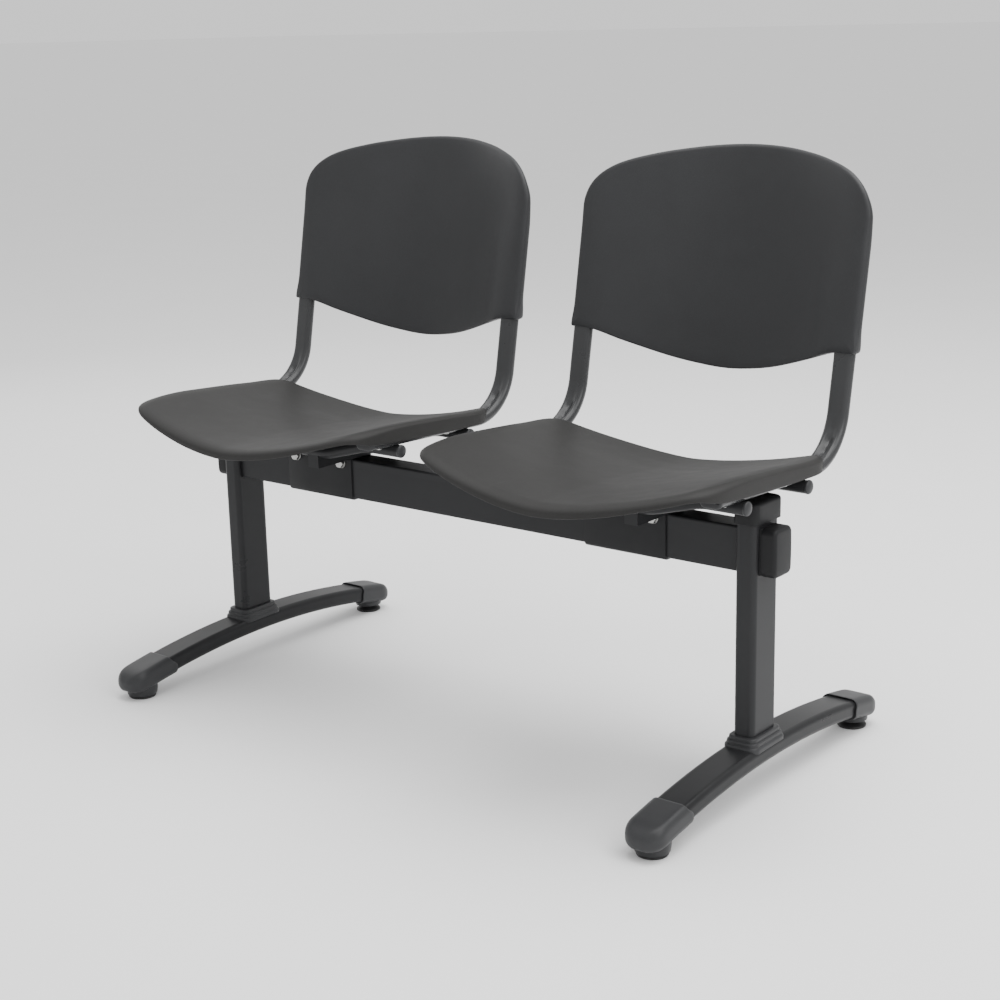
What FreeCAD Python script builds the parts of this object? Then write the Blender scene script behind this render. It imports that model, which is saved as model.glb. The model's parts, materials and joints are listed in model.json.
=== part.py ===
import FreeCAD, Part
import Sketcher
import math
import os
import re

# Beam seating: two moulded seats on a horizontal beam carried by two T legs.
# Frame: origin on the floor in the middle of the plan, X along the beam,
# -Y to the front, +Z up. Millimetres.

V = FreeCAD.Vector
Rot = FreeCAD.Rotation
PL = FreeCAD.Placement

doc = FreeCAD.newDocument("beam_seating")
sheet = doc.addObject("Spreadsheet::Sheet", "Dims")

D = {
    # spacing
    "seat_pitch": 556.0, "leg_half_span": 466.0, "mid_depth": -17.0,
    # beam, rectangular tube
    "beam_length": 994.0, "beam_tall": 60.0, "beam_deep": 40.0, "beam_wall": 2.0,
    "beam_round": 3.0, "beam_level": 334.5, "beam_lip": 22.0, "beam_lip_over": 1.8, "beam_lip_round": 8.0,
    # leg column
    "column_wide": 30.0, "column_deep": 60.0, "column_round": 8.0, "column_wall": 2.0,
    "column_base": 74.0, "column_top": 396.5,
    "head_wide": 36.0, "head_deep": 68.0, "head_tall": 29.0, "head_round": 10.0,
    # collar at the foot of the column
    "collar_wide": 41.0, "collar_deep": 71.5, "collar_step": 5.2,
    # foot, arched tube
    "foot_wide": 50.0, "foot_tall": 25.0, "foot_round": 8.0, "foot_wall": 2.0,
    "foot_apex": 74.0, "arch_radius": 1400.0, "foot_half_angle": 11.0,
    "cap_wide": 56.0, "cap_tall": 31.0, "cap_round": 10.0, "cap_tip": 290.0,
    # levelling glide
    "glide_reach": 255.0, "glide_radius": 20.5, "stud_radius": 3.95, "insert_bore": 4.0,
    "glide_travel": 12.0,
    # everything that stands on the glides is lowered by this much at the end
    "frame_drop": 5.3,
    # seat frame
    "arm_wide": 30.0, "arm_thick": 15.0, "arm_wall": 1.5, "arm_out": 210.0,
    "arm_front": -161.5, "arm_front_level": 428.7, "arm_bend": 77.5, "arm_lean": 10.8,
    "arm_fall": 2.0, "arm_top": 640.0, "arm_rear_at": 164.0, "arm_rear_level": 558.0,
    "cross_radius": 9.0, "cross_wall": 1.5, "cross_rise": 19.8, "cross_reach": 226.0,
    "crank_inner": 88.0, "crank_outer": 162.0, "crank_round": 100.0,
    "cross_front_at": -108.5, "cross_front_low": 391.6,
    "cross_rear_at": 42.5, "cross_rear_low": 386.4,
    "bracket_out": 63.0, "bracket_wide": 20.0, "bracket_wall": 2.5,
    "bracket_front": -116.0, "bracket_length": 172.0, "bracket_top": 396.0,
    "sleeve_length": 130.0, "sleeve_wall": 3.0,
    "bolt_out": 46.0, "bolt_level": 357.5, "bolt_radius": 4.0,
    # seat shell
    "seat_half": 229.0, "seat_wall": 4.5, "seat_dish": 40.0, "seat_lip": 3.5,
    # backrest shell
    "back_half": 228.5, "back_side_thick": 20.0, "back_mid_thick": 7.0,
    "back_face_at": 154.9, "back_slope": 0.187,
}
row = 1
for key, value in D.items():
    sheet.set("A%d" % row, key)
    sheet.set("B%d" % row, repr(float(value)))
    sheet.setAlias("B%d" % row, key)
    row += 1
doc.recompute()


def ex(text):
    # turns dimension names into references to the sheet
    return re.sub(r"[A-Za-z_]\w*", lambda m: "Dims." + m.group(0) if m.group(0) in D else m.group(0), str(text))


def val(text):
    # the number that an expression has now
    if isinstance(text, (int, float)):
        return float(text)
    total = re.sub(r"[A-Za-z_]\w*", lambda m: repr(sheet.get(m.group(0))) if m.group(0) in D else m.group(0), str(text))
    return float(FreeCAD.Units.Quantity(total).Value)


def bind(obj, prop, text):
    if isinstance(text, str):
        obj.setExpression(prop, ex(text))


def place(obj, x=0, y=0, z=0, rot=None):
    obj.Placement = PL(V(x if not isinstance(x, str) else 0, y if not isinstance(y, str) else 0,
                         z if not isinstance(z, str) else 0), rot or Rot())
    for axis, text in (("x", x), ("y", y), ("z", z)):
        bind(obj, "Placement.Base." + axis, text)
    return obj


names = {}


def nm(base):
    names[base] = names.get(base, 0) + 1
    return "%s_%d" % (base, names[base])


# ---------------------------------------------------------------- sketch helpers
def origin_plane(body, role):
    return [f for f in body.Origin.OriginFeatures if f.Role == role][0]


def sketch(body, role, shift_u=0, shift_v=0, lift=0):
    sk = body.newObject("Sketcher::SketchObject", nm("profile"))
    sk.AttachmentSupport = [(origin_plane(body, role), "")]
    sk.MapMode = "FlatFace"
    sk.AttachmentOffset = PL(V(shift_u if not isinstance(shift_u, str) else 0,
                               shift_v if not isinstance(shift_v, str) else 0,
                               lift if not isinstance(lift, str) else 0), Rot())
    for axis, text in (("x", shift_u), ("y", shift_v), ("z", lift)):
        bind(sk, "AttachmentOffset.Base." + axis, text)
    return sk


def rectangle(body, role, wide, tall, shift_u=0, shift_v=0, lift=0):
    sk = sketch(body, role, shift_u, shift_v, lift)
    w, t = 10.0, 10.0
    p = [V(-w, -t, 0), V(w, -t, 0), V(w, t, 0), V(-w, t, 0)]
    for i in range(4):
        sk.addGeometry(Part.LineSegment(p[i], p[(i + 1) % 4]), False)
    for i in range(4):
        sk.addConstraint(Sketcher.Constraint("Coincident", i, 2, (i + 1) % 4, 1))
    for i in (0, 2):
        sk.addConstraint(Sketcher.Constraint("Horizontal", i))
    for i in (1, 3):
        sk.addConstraint(Sketcher.Constraint("Vertical", i))
    sk.addConstraint(Sketcher.Constraint("Symmetric", 0, 1, 2, 1, -1, 1))
    a = sk.addConstraint(Sketcher.Constraint("DistanceX", 0, 1, 0, 2, 2 * w))
    b = sk.addConstraint(Sketcher.Constraint("DistanceY", 1, 1, 1, 2, 2 * t))
    sk.renameConstraint(a, "wide")
    sk.renameConstraint(b, "tall")
    sk.setExpression("Constraints.wide", ex(wide))
    sk.setExpression("Constraints.tall", ex(tall))
    return sk


def soft_rectangle(body, role, wide, tall, rounding, shift_u=0, shift_v=0, lift=0):
    # rectangle with round corners, centred on its own origin
    sk = sketch(body, role, shift_u, shift_v, lift)
    w, t, r = 12.0, 12.0, 3.0
    lines = [((-w + r, -t), (w - r, -t)), ((w, -t + r), (w, t - r)), ((w - r, t), (-w + r, t)), ((-w, t - r), (-w, -t + r))]
    for a, b in lines:
        sk.addGeometry(Part.LineSegment(V(a[0], a[1], 0), V(b[0], b[1], 0)), False)
    centres = [(w - r, -t + r, -90), (w - r, t - r, 0), (-w + r, t - r, 90), (-w + r, -t + r, 180)]
    for cx_, cy_, a in centres:
        ring = Part.Circle(V(cx_, cy_, 0), V(0, 0, 1), r)
        sk.addGeometry(Part.ArcOfCircle(ring, math.radians(a), math.radians(a + 90)), False)
    for i in range(4):
        sk.addConstraint(Sketcher.Constraint("Tangent", i, 2, 4 + i, 1))
        sk.addConstraint(Sketcher.Constraint("Tangent", 4 + i, 2, (i + 1) % 4, 1))
    for i in (0, 2):
        sk.addConstraint(Sketcher.Constraint("Horizontal", i))
    for i in (1, 3):
        sk.addConstraint(Sketcher.Constraint("Vertical", i))
    for i in (5, 6, 7):
        sk.addConstraint(Sketcher.Constraint("Equal", 4, i))
    sk.addConstraint(Sketcher.Constraint("Symmetric", 4, 3, 6, 3, -1, 1))
    c = sk.addConstraint(Sketcher.Constraint("Radius", 4, r))
    a = sk.addConstraint(Sketcher.Constraint("DistanceX", 7, 3, 4, 3, 2 * (w - r)))
    b = sk.addConstraint(Sketcher.Constraint("DistanceY", 4, 3, 5, 3, 2 * (t - r)))
    for i, n in ((c, "rounding"), (a, "across"), (b, "up")):
        sk.renameConstraint(i, n)
    sk.setExpression("Constraints.rounding", ex(rounding))
    sk.setExpression("Constraints.across", ex("%s-2*(%s)" % (wide, rounding)))
    sk.setExpression("Constraints.up", ex("%s-2*(%s)" % (tall, rounding)))
    return sk


def circle(body, role, radius, shift_u=0, shift_v=0, lift=0):
    sk = sketch(body, role, shift_u, shift_v, lift)
    sk.addGeometry(Part.Circle(V(0, 0, 0), V(0, 0, 1), 5.0), False)
    sk.addConstraint(Sketcher.Constraint("Coincident", 0, 3, -1, 1))
    a = sk.addConstraint(Sketcher.Constraint("Radius", 0, 5.0))
    sk.renameConstraint(a, "radius")
    sk.setExpression("Constraints.radius", ex(radius))
    return sk


def wire_sketch(body, role, points):
    sk = sketch(body, role)
    n = len(points)
    for i in range(n):
        a, b = points[i], points[(i + 1) % n]
        sk.addGeometry(Part.LineSegment(V(a[0], a[1], 0), V(b[0], b[1], 0)), False)
    for i in range(n):
        sk.addConstraint(Sketcher.Constraint("Coincident", i, 2, (i + 1) % n, 1))
    return sk


def pad(body, sk, length, both=False, back=False):
    f = body.newObject("PartDesign::Pad", nm("pad"))
    f.Profile = sk
    f.SideType = "Symmetric" if both else "One side"
    f.Reversed = back
    bind(f, "Length", str(length))
    return f


def pocket(body, sk, length=None, both=False, back=False):
    f = body.newObject("PartDesign::Pocket", nm("pocket"))
    f.Profile = sk
    f.SideType = "Symmetric" if both else "One side"
    f.Reversed = back
    if length is None:
        f.Type = "ThroughAll"
    else:
        bind(f, "Length", str(length))
    return f


def edges_of(shape, test):
    out = []
    for i, e in enumerate(shape.Edges):
        if test(e):
            out.append("Edge%d" % (i + 1))
    return out


def fillet(body, feature, test, radius):
    doc.recompute()
    f = body.newObject("PartDesign::Fillet", nm("fillet"))
    f.Base = (feature, edges_of(feature.Shape, test))
    bind(f, "Radius", str(radius))
    return f


def along(axis):
    # straight edges parallel to an axis
    def test(e):
        if e.Curve.TypeId != "Part::GeomLine":
            return False
        d = e.valueAt(e.LastParameter) - e.valueAt(e.FirstParameter)
        return abs(abs(d.normalize().dot(axis)) - 1) < 1e-6
    return test


def body_of(label):
    b = doc.addObject("PartDesign::Body", label)
    b.Label = label
    return b


def box(length, width, height, x=0, y=0, z=0, rot=None):
    b = doc.addObject("Part::Box", nm("block"))
    bind(b, "Length", str(length))
    bind(b, "Width", str(width))
    bind(b, "Height", str(height))
    return place(b, x, y, z, rot)


def rod(radius, height, x=0, y=0, z=0, rot=None):
    c = doc.addObject("Part::Cylinder", nm("rod"))
    bind(c, "Radius", str(radius))
    bind(c, "Height", str(height))
    return place(c, x, y, z, rot)


def hexagon(radius, height, x=0, y=0, z=0, rot=None):
    c = doc.addObject("Part::Prism", nm("hexagon"))
    c.Polygon = 6
    bind(c, "Circumradius", str(radius))
    bind(c, "Height", str(height))
    return place(c, x, y, z, rot)


def fuse(*shapes):
    f = doc.addObject("Part::MultiFuse", nm("fuse"))
    f.Shapes = list(shapes)
    return f


def common(a, b):
    f = doc.addObject("Part::Common", nm("common"))
    f.Base, f.Tool = a, b
    return f


def cut(a, *tools):
    f = doc.addObject("Part::Cut", nm("cut"))
    f.Base = a
    f.Tool = tools[0] if len(tools) == 1 else fuse(*tools)
    return f


def group(*shapes):
    c = doc.addObject("Part::Compound", nm("group"))
    c.Links = list(shapes)
    return c


TO_X = Rot(V(0, 1, 0), 90)       # local +Z to +X, local X to -Z
TO_Y = Rot(V(1, 0, 0), -90)      # local +Z to +Y
TO_BACK_Y = Rot(V(1, 0, 0), 90)  # local +Z to -Y
HALF = Rot(V(0, 0, 1), 180)

final = {}

# stations of the seat screws along the arm, and level of the backrest screws
SCREWS_AT = (-135.0, 10.0)
BACK_SCREW = 625.0


def arm_rear_y(z):
    # centre of the rising leg of the arm at one level
    return D["arm_rear_at"] + math.tan(math.radians(D["arm_lean"])) * (z - D["arm_rear_level"])


def arm_under(y):
    # underside of the sloping front leg of the arm
    return D["arm_front_level"] - math.tan(math.radians(D["arm_fall"])) * (y - D["arm_front"]) - D["arm_thick"] / 2


def node(obj, label, on_floor=False):
    # finished part; all but the glides are lowered onto the glides
    if not on_floor:
        obj.Label = label + "_raised"
        obj = group(obj)
        bind(obj, "Placement.Base.z", "-frame_drop")
    obj.Label = label
    final[label] = obj
    return obj


def rect_tube(label, wide, deep, length, outer_round, wall):
    # tube along its own Z, rounded rectangle outside and inside
    b = body_of(label)
    pad(b, soft_rectangle(b, "XY_Plane", wide, deep, outer_round), length)
    pocket(b, soft_rectangle(b, "XY_Plane", "%s-2*%s" % (wide, wall), "%s-2*%s" % (deep, wall), "%s-%s" % (outer_round, wall)), length, back=True)
    return b


# ---------------------------------------------------------------- beam
beam_raw = rect_tube("beam_tube", "beam_tall", "beam_deep", "beam_length", "beam_round", "beam_wall")
place(beam_raw, "-beam_length/2", "mid_depth", "beam_level", TO_X)
holes = []
for side in (-1, 1):
    for k in (-1, 1):
        holes.append(rod("bolt_radius+0.3", 60, "%d*seat_pitch/2+%d*bolt_out" % (side, k), "mid_depth-30", "bolt_level", TO_Y))
    for k in (-1, 1):
        holes.append(rod(5, 12, "%d*leg_half_span" % side, "mid_depth+beam_deep/2-8", "beam_level+%d*15" % k, TO_Y))
node(cut(beam_raw, *holes), "beam")

for side, tag in ((-1, "left"), (1, "right")):
    b = body_of("beam_end_cap_" + tag)
    p = pad(b, rectangle(b, "XY_Plane", "beam_tall+2*beam_lip_over", "beam_deep+2*beam_lip_over"), "beam_lip")
    p = fillet(b, p, along(V(0, 0, 1)), "beam_lip_round+0.5")
    p = fillet(b, p, lambda e: min(v.Point.z for v in e.Vertexes) > D["beam_lip"] - 0.01, "beam_lip_round")
    pocket(b, soft_rectangle(b, "XY_Plane", "beam_tall+0.2", "beam_deep+0.2", "beam_round"), 13, back=True)
    pad(b, rectangle(b, "XY_Plane", "beam_tall-2*beam_wall-4", "beam_deep-2*beam_wall-4", lift=13), 22, back=True)
    pocket(b, rectangle(b, "XY_Plane", "beam_tall-2*beam_wall-10", "beam_deep-2*beam_wall-10", lift=-9), 20, back=True)
    place(b, "%d*(beam_length/2-13)" % side, "mid_depth", "beam_level", TO_X if side > 0 else Rot(V(0, 1, 0), -90))
    node(b, "beam_end_cap_" + tag)


# ---------------------------------------------------------------- arched foot profile, revolved about an axis below
def arch(label, wide, tall, half_angle, rounding):
    b = body_of(label)
    sk = soft_rectangle(b, "XZ_Plane", wide, tall, rounding, 0, "arch_radius-foot_tall/2")
    r = b.newObject("PartDesign::Revolution", nm("revolution"))
    r.Profile = sk
    r.ReferenceAxis = (origin_plane(b, "X_Axis"), [""])
    r.Midplane = True
    bind(r, "Angle", "2*(%s)" % half_angle)
    return b


def cranked_tube(label):
    # round tube along X with both ends raised by two bends each
    b = body_of(label)
    rise, reach, out, inn, rad = D["cross_rise"], D["cross_reach"], D["crank_outer"], D["crank_inner"], D["crank_round"]
    turn = math.atan2(rise, out - inn)
    t = rad * math.tan(turn / 2)
    c, q = math.cos(turn), math.sin(turn)
    h, v = math.cos(turn / 2), math.sin(turn / 2)
    # right half from the middle outwards: inner bend, slope, outer bend, end
    p1, p2 = (inn - t, 0.0), (inn + t * c, t * q)
    m1 = (p1[0] + rad * v, rad - rad * h)
    p3, p4 = (out - t * c, rise - t * q), (out + t, rise)
    m2 = (p4[0] - rad * v, rise - rad + rad * h)
    end = (reach, rise)
    path = sketch(b, "XZ_Plane")

    def line(s, e):
        path.addGeometry(Part.LineSegment(V(s[0], s[1], 0), V(e[0], e[1], 0)), False)

    def curve(s, m, e):
        path.addGeometry(Part.Arc(V(s[0], s[1], 0), V(m[0], m[1], 0), V(e[0], e[1], 0)), False)

    def flip(p):
        return (-p[0], p[1])
    line(flip(end), flip(p4))
    curve(flip(p4), flip(m2), flip(p3))
    line(flip(p3), flip(p2))
    curve(flip(p2), flip(m1), flip(p1))
    line(flip(p1), p1)
    curve(p1, m1, p2)
    line(p2, p3)
    curve(p3, m2, p4)
    line(p4, end)
    for size, kind in (("cross_radius", "PartDesign::AdditivePipe"), ("cross_radius-cross_wall", "PartDesign::SubtractivePipe")):
        f = b.newObject(kind, nm("pipe"))
        f.Profile = circle(b, "YZ_Plane", size, 0, "cross_rise", "-cross_reach")
        f.Spine = (path, [])
        f.Mode = "Standard"
        doc.recompute()
    return b


def at_foot(obj, side):
    return place(obj, "%d*leg_half_span" % side, 0, "foot_apex-arch_radius")


for side, tag in ((-1, "left"), (1, "right")):
    # column with a window for the beam and screw holes in its rear wall
    raw = rect_tube("column_tube_" + tag, "column_wide", "column_deep", "column_top-column_base", "column_round", "column_wall")
    place(raw, "%d*leg_half_span" % side, "mid_depth", "column_base")
    window = box("column_wide+20", "beam_deep+0.6", "beam_tall+0.6", "%d*leg_half_span-column_wide/2-10" % side,
                 "mid_depth-beam_deep/2-0.3", "beam_level-beam_tall/2-0.3")
    drill = [rod("bolt_radius+0.3", 8, "%d*leg_half_span" % side, "mid_depth+column_deep/2-5", "beam_level+%d*15" % k, TO_Y) for k in (-1, 1)]
    node(cut(raw, window, *drill), "column_" + tag)

    # cap over the column's top end
    b = body_of("column_cap_" + tag)
    p = pad(b, rectangle(b, "XY_Plane", "head_wide", "head_deep"), "head_tall")
    p = fillet(b, p, along(V(0, 0, 1)), "head_round")
    p = fillet(b, p, lambda e: min(v.Point.z for v in e.Vertexes) > D["head_tall"] - 0.01, 4.5)
    pocket(b, soft_rectangle(b, "XY_Plane", "column_wide+0.3", "column_deep+0.3", "column_round", 0, -1), "head_tall-3.5", back=True)
    place(b, "%d*leg_half_span" % side, "mid_depth+1", "column_top+3.5-head_tall")
    node(b, "column_cap_" + tag)

    # threaded plate welded inside the bottom of the column
    plate = box("column_wide-2*column_wall-0.2", 44, 8, "%d*leg_half_span-column_wide/2+column_wall+0.1" % side,
                "mid_depth-22", "column_base")
    taps = [rod("bolt_radius", 12, "%d*leg_half_span" % side, "mid_depth+%d*14" % k, "column_base-2") for k in (-1, 1)]
    node(cut(plate, *taps), "column_base_plate_" + tag)

    # foot tube
    outer = arch("foot_outer_" + tag, "foot_wide", "foot_tall", "foot_half_angle", "foot_round")
    inner = arch("foot_inner_" + tag, "foot_wide-2*foot_wall", "foot_tall-2*foot_wall", "foot_half_angle+1", "foot_round-foot_wall")
    at_foot(outer, side)
    at_foot(inner, side)
    bores = [rod("bolt_radius+0.3", 60, "%d*leg_half_span" % side, "mid_depth+%d*14" % k, 30) for k in (-1, 1)]
    bores += [rod(5.2, 22, "%d*leg_half_span" % side, "%d*glide_reach" % k, 15) for k in (-1, 1)]
    node(cut(outer, inner, *bores), "foot_tube_" + tag)

    # stepped collar, its underside follows the foot tube
    tiers = []
    for more, tall, rounding, soft in (("2*collar_step", 9, 13, 4), ("collar_step", 14.5, 11.5, 2.4), ("0", 20, 9.5, 2)):
        b = body_of("collar_tier_%s_%d" % (tag, tall))
        p = pad(b, rectangle(b, "XY_Plane", "collar_wide+" + more, "collar_deep+" + more), tall)
        p = fillet(b, p, along(V(0, 0, 1)), rounding)
        p = fillet(b, p, lambda e: min(v.Point.z for v in e.Vertexes) > tall - 0.01, soft)
        tiers.append(place(b, "%d*leg_half_span" % side, "mid_depth", "column_base-6"))
    b = body_of("collar_hole_" + tag)
    pad(b, soft_rectangle(b, "XY_Plane", "column_wide+0.2", "column_deep+0.2", "column_round"), 40)
    place(b, "%d*leg_half_span" % side, "mid_depth", "column_base-16")
    shaper = arch("collar_shaper_" + tag, "foot_wide", "foot_tall", 4, "foot_round")
    at_foot(shaper, side)
    node(cut(fuse(*tiers), b, shaper), "column_collar_" + tag)
    print("leg parts", tag)

    # moulded end caps with a boss for the glide
    for k, where in ((-1, "front"), (1, "rear")):
        skin = arch("cap_skin_%s_%s" % (tag, where), "cap_wide", "cap_tall", 12.6, "cap_round")
        at_foot(skin, side)
        nose = rod("cap_wide/2", 90, "%d*leg_half_span" % side, "%d*(cap_tip-cap_wide/2)" % k, 5)
        trunk = box("cap_wide", 64, 90, "%d*leg_half_span-cap_wide/2" % side, "%d*(cap_tip-cap_wide/2)%s" % (k, "-64" if k > 0 else ""), 5)
        body = common(skin, fuse(nose, trunk))
        boss = rod("glide_radius+1.5", 30, "%d*leg_half_span" % side, "%d*glide_reach" % k, 16)
        full = fuse(body, boss)
        hollow = arch("cap_hollow_%s_%s" % (tag, where), "foot_wide+0.4", "foot_tall+0.4", "foot_half_angle+0.05", "foot_round")
        at_foot(hollow, side)
        # slanted mouth: top edge further out at the front, further in at the rear
        if k < 0:
            wedge = box(70, 60, 90, "%d*leg_half_span-35" % side, -222.0, 5, None)
            wedge.Placement = PL(V(side * D["leg_half_span"] - 35, -222.5, 58), Rot(V(1, 0, 0), 27).multiply(Rot())).multiply(PL(V(0, 0, -70), Rot()))
        else:
            wedge = box(70, 60, 90, "%d*leg_half_span-35" % side, 222.0, 5, None)
            wedge.Placement = PL(V(side * D["leg_half_span"] - 35, 217.5, 60), Rot(V(1, 0, 0), 33)).multiply(PL(V(0, -60, -70), Rot()))
        bore = rod(5.2, 40, "%d*leg_half_span" % side, "%d*glide_reach" % k, 10)
        node(cut(full, hollow, bore, wedge), "foot_cap_%s_%s" % (tag, where))

        # glide: moulded disc on a threaded stud with a hexagon flange
        b = body_of("glide_pad_%s_%s" % (tag, where))
        rr = D["glide_radius"]
        prof = wire_sketch(b, "XZ_Plane", [(0, 0), (rr - 1, 0), (rr, 1), (rr, 2.8), (rr - 1.2, 3.8), (12, 6.6), (9, 8), (0, 8)])
        r = b.newObject("PartDesign::Revolution", nm("revolution"))
        r.Profile = prof
        r.ReferenceAxis = (origin_plane(b, "Z_Axis"), [""])
        r.Angle = 360
        doc.recompute()
        pocket(b, circle(b, "XY_Plane", "insert_bore", lift=8), 5)
        place(b, "%d*leg_half_span" % side, "%d*glide_reach" % k, 0)
        node(b, "glide_pad_%s_%s" % (tag, where), True)
        stud = rod("stud_radius", 35.7, "%d*leg_half_span" % side, "%d*glide_reach" % k, 3)
        flange = hexagon(7.5, 2.68, "%d*leg_half_span" % side, "%d*glide_reach" % k, 8)
        node(fuse(stud, flange), "glide_stud_%s_%s" % (tag, where), True)

# threaded inserts that the glides turn in
rings = []
for side in (-1, 1):
    for k in (-1, 1):
        ring = fuse(rod(8, 4, "%d*leg_half_span" % side, "%d*glide_reach" % k, 29.5),
                    rod(5.1, 15, "%d*leg_half_span" % side, "%d*glide_reach" % k, 16.6))
        bore = rod("insert_bore", 20, "%d*leg_half_span" % side, "%d*glide_reach" % k, 15)
        rings.append(cut(ring, bore))
node(group(*rings), "glide_inserts")
print("feet")

# bolts from under the foot into the base plate
bolts = []
for side in (-1, 1):
    for k in (-1, 1):
        y = "mid_depth+%d*14" % k
        head = rod(6.5, 4, "%d*leg_half_span" % side, y, "foot_apex-foot_tall-4.6")
        socket = hexagon(3.2, 2.5, "%d*leg_half_span" % side, y, "foot_apex-foot_tall-4.7")
        shank = rod("bolt_radius-0.05", 34, "%d*leg_half_span" % side, y, "foot_apex-foot_tall-1.6")
        bolts.append(fuse(cut(head, socket), shank))
node(group(*bolts), "foot_bolts")

# screws through the column's rear wall into threaded inserts in the beam
screws, nuts = [], []
for side in (-1, 1):
    for k in (-1, 1):
        x, z = "%d*leg_half_span" % side, "beam_level+%d*15" % k
        head = hexagon(7.5, 5.3, x, "mid_depth+column_deep/2", z, TO_Y)
        shank = rod("bolt_radius-0.05", 24, x, "mid_depth+column_deep/2-23", z, TO_Y)
        screws.append(fuse(head, shank))
        nut = rod(4.95, 11, x, "mid_depth+beam_deep/2-10.8", z, TO_Y)
        lip = rod(7, 1, x, "mid_depth+beam_deep/2+0.02", z, TO_Y)
        nuts.append(cut(fuse(nut, lip), rod("bolt_radius-0.05", 20, x, "mid_depth+beam_deep/2-14", z, TO_Y)))
node(group(*screws), "column_screws")
node(group(*nuts), "beam_thread_inserts")


# ---------------------------------------------------------------- seat surface and backrest surface
def lerp_table(table, t):
    # smooth curve through a table of pairs
    if t <= table[0][0]:
        return table[0][1]
    if t >= table[-1][0]:
        return table[-1][1]
    for (a, fa), (b, fb) in zip(table[:-1], table[1:]):
        if a <= t <= b:
            return fa + (fb - fa) * (t - a) / (b - a)


SEAT_MID = [(-246, 401.0), (-238, 404.5), (-225, 408.0), (-205, 410.8), (-180, 411.8), (-150, 411.8), (-110, 410.8), (-60, 408.0), (0, 404.6),
            (50, 401.2), (90, 399.4), (128, 398.6)]
SEAT_LIP = [(-246, 424.0), (-170, 427.5), (-110, 424.5), (-46, 421.0), (40, 417.0), (128, 416.5)]


def seat_top(x, y):
    u = min(abs(x) / 222.0, 1.05)
    return lerp_table(SEAT_MID, y) + D["seat_dish"] * u ** 1.6 - 3.2 * max(0.0, (abs(x) - 200.0) / 22.0) ** 2


def seat_section(y):
    # closed profile at one station: top skin, turned-down sides, underside
    top = [V(x, seat_top(x, y), 0) for x in (-220, -195, -165, -130, -90, -45, 0, 45, 90, 130, 165, 195, 220)]
    w = D["seat_half"]
    lip = min(lerp_table(SEAT_LIP, y), seat_top(220, y) - 12)
    t = D["seat_wall"]
    low = [V(p.x * (1 - 0.012), p.y - t, 0) for p in top]
    k = D["seat_lip"]
    left = [V(-220, top[0].y, 0), V(-w + 1.2, top[0].y - 5.5, 0), V(-w, top[0].y - 11, 0), V(-w, lip, 0), V(-w + k, lip, 0),
            V(-w + k, top[0].y - 11, 0), V(low[0].x, low[0].y, 0)]
    right = [V(-p.x, p.y, 0) for p in left]
    up = Part.BSplineCurve()
    up.interpolate(top)
    dn = Part.BSplineCurve()
    dn.interpolate(low)
    edges = [up]
    for a, b in zip(right[:-1], right[1:]):
        edges.append(Part.LineSegment(a, b))
    rev = Part.BSplineCurve()
    rev.interpolate(list(reversed(low)))
    edges.append(rev)
    back = list(reversed(left))
    for a, b in zip(back[:-1], back[1:]):
        edges.append(Part.LineSegment(a, b))
    return edges


def station_sketch(edges, placement):
    sk = doc.addObject("Sketcher::SketchObject", nm("station"))
    sk.Placement = placement
    for g in edges:
        sk.addGeometry(g, False)
    return sk


def loft(stations):
    f = doc.addObject("Part::Loft", nm("loft"))
    f.Sections = stations
    f.Solid = True
    f.Ruled = False
    return f


UPRIGHT = Rot(V(1, 0, 0), 90)   # sketch x to X, sketch y to Z


def outline_solid(points, rot, base, depth):
    # prism over a closed outline given as a smooth polygon
    sk = doc.addObject("Sketcher::SketchObject", nm("outline"))
    sk.Placement = PL(base, rot)
    n = len(points)
    for i in range(n):
        a, b = points[i], points[(i + 1) % n]
        sk.addGeometry(Part.LineSegment(V(a[0], a[1], 0), V(b[0], b[1], 0)), False)
    for i in range(n):
        sk.addConstraint(Sketcher.Constraint("Coincident", i, 2, (i + 1) % n, 1))
    e = doc.addObject("Part::Extrusion", nm("prism"))
    e.Base = sk
    e.DirMode = "Normal"
    e.LengthFwd = depth
    e.Solid = True
    return e


SEAT_PLAN = [(0, -240), (40, -239.5), (80, -237), (120, -233), (150, -229), (175, -223), (192, -215), (206, -204), (217, -189), (224, -172), (228, -150),
             (229, -120), (229, 60), (227.5, 76), (222, 91), (212, 101), (198, 106.5), (180, 109.5), (150, 114), (110, 119.5), (70, 123.5), (30, 125.6), (0, 126)]

BACK_LOW = [(0, 510.5), (20, 511.4), (40, 513.8), (60, 516.9), (80, 521.1), (100, 526.5), (120, 532.7), (140, 539.2), (160, 546.0), (178, 552.2),
            (190, 556.0), (200, 557.6), (228.5, 558.0)]
BACK_HIGH = [(228.5, 728), (227.5, 737), (225, 746), (220.5, 756), (214, 766), (204, 776), (189, 785.8), (174, 791.9), (159, 796.4), (144, 799.9),
             (129, 803.1), (114, 805.7), (99, 807.8), (84, 809.8), (69, 811.5), (54, 812.8), (36, 814), (18, 814.7), (0, 815)]


def back_face(x, z):
    s = (z - 511.0) / (812.0 - 511.0)
    half = 200.0 + 25.0 * s
    deep = 60.5 + 12.0 * s
    u = min(abs(x) / half, 1.0)
    # flat strips at both sides hold the arms
    strip = 1 - smooth((abs(x) - 176.0) / 17.0) * (1 - smooth((z - 650.0) / 50.0))
    return D["back_face_at"] + D["back_slope"] * (z - 560.0) + deep * strip * (1 - u * u) ** 1.5


def smooth(t):
    t = max(0.0, min(1.0, t))
    return t * t * (3 - 2 * t)


def back_thick(x, z):
    side = D["back_side_thick"] - 8.0 * smooth((z - 690.0) / 70.0)
    return D["back_mid_thick"] + (side - D["back_mid_thick"]) * smooth((abs(x) - 150.0) / 38.0)


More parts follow.
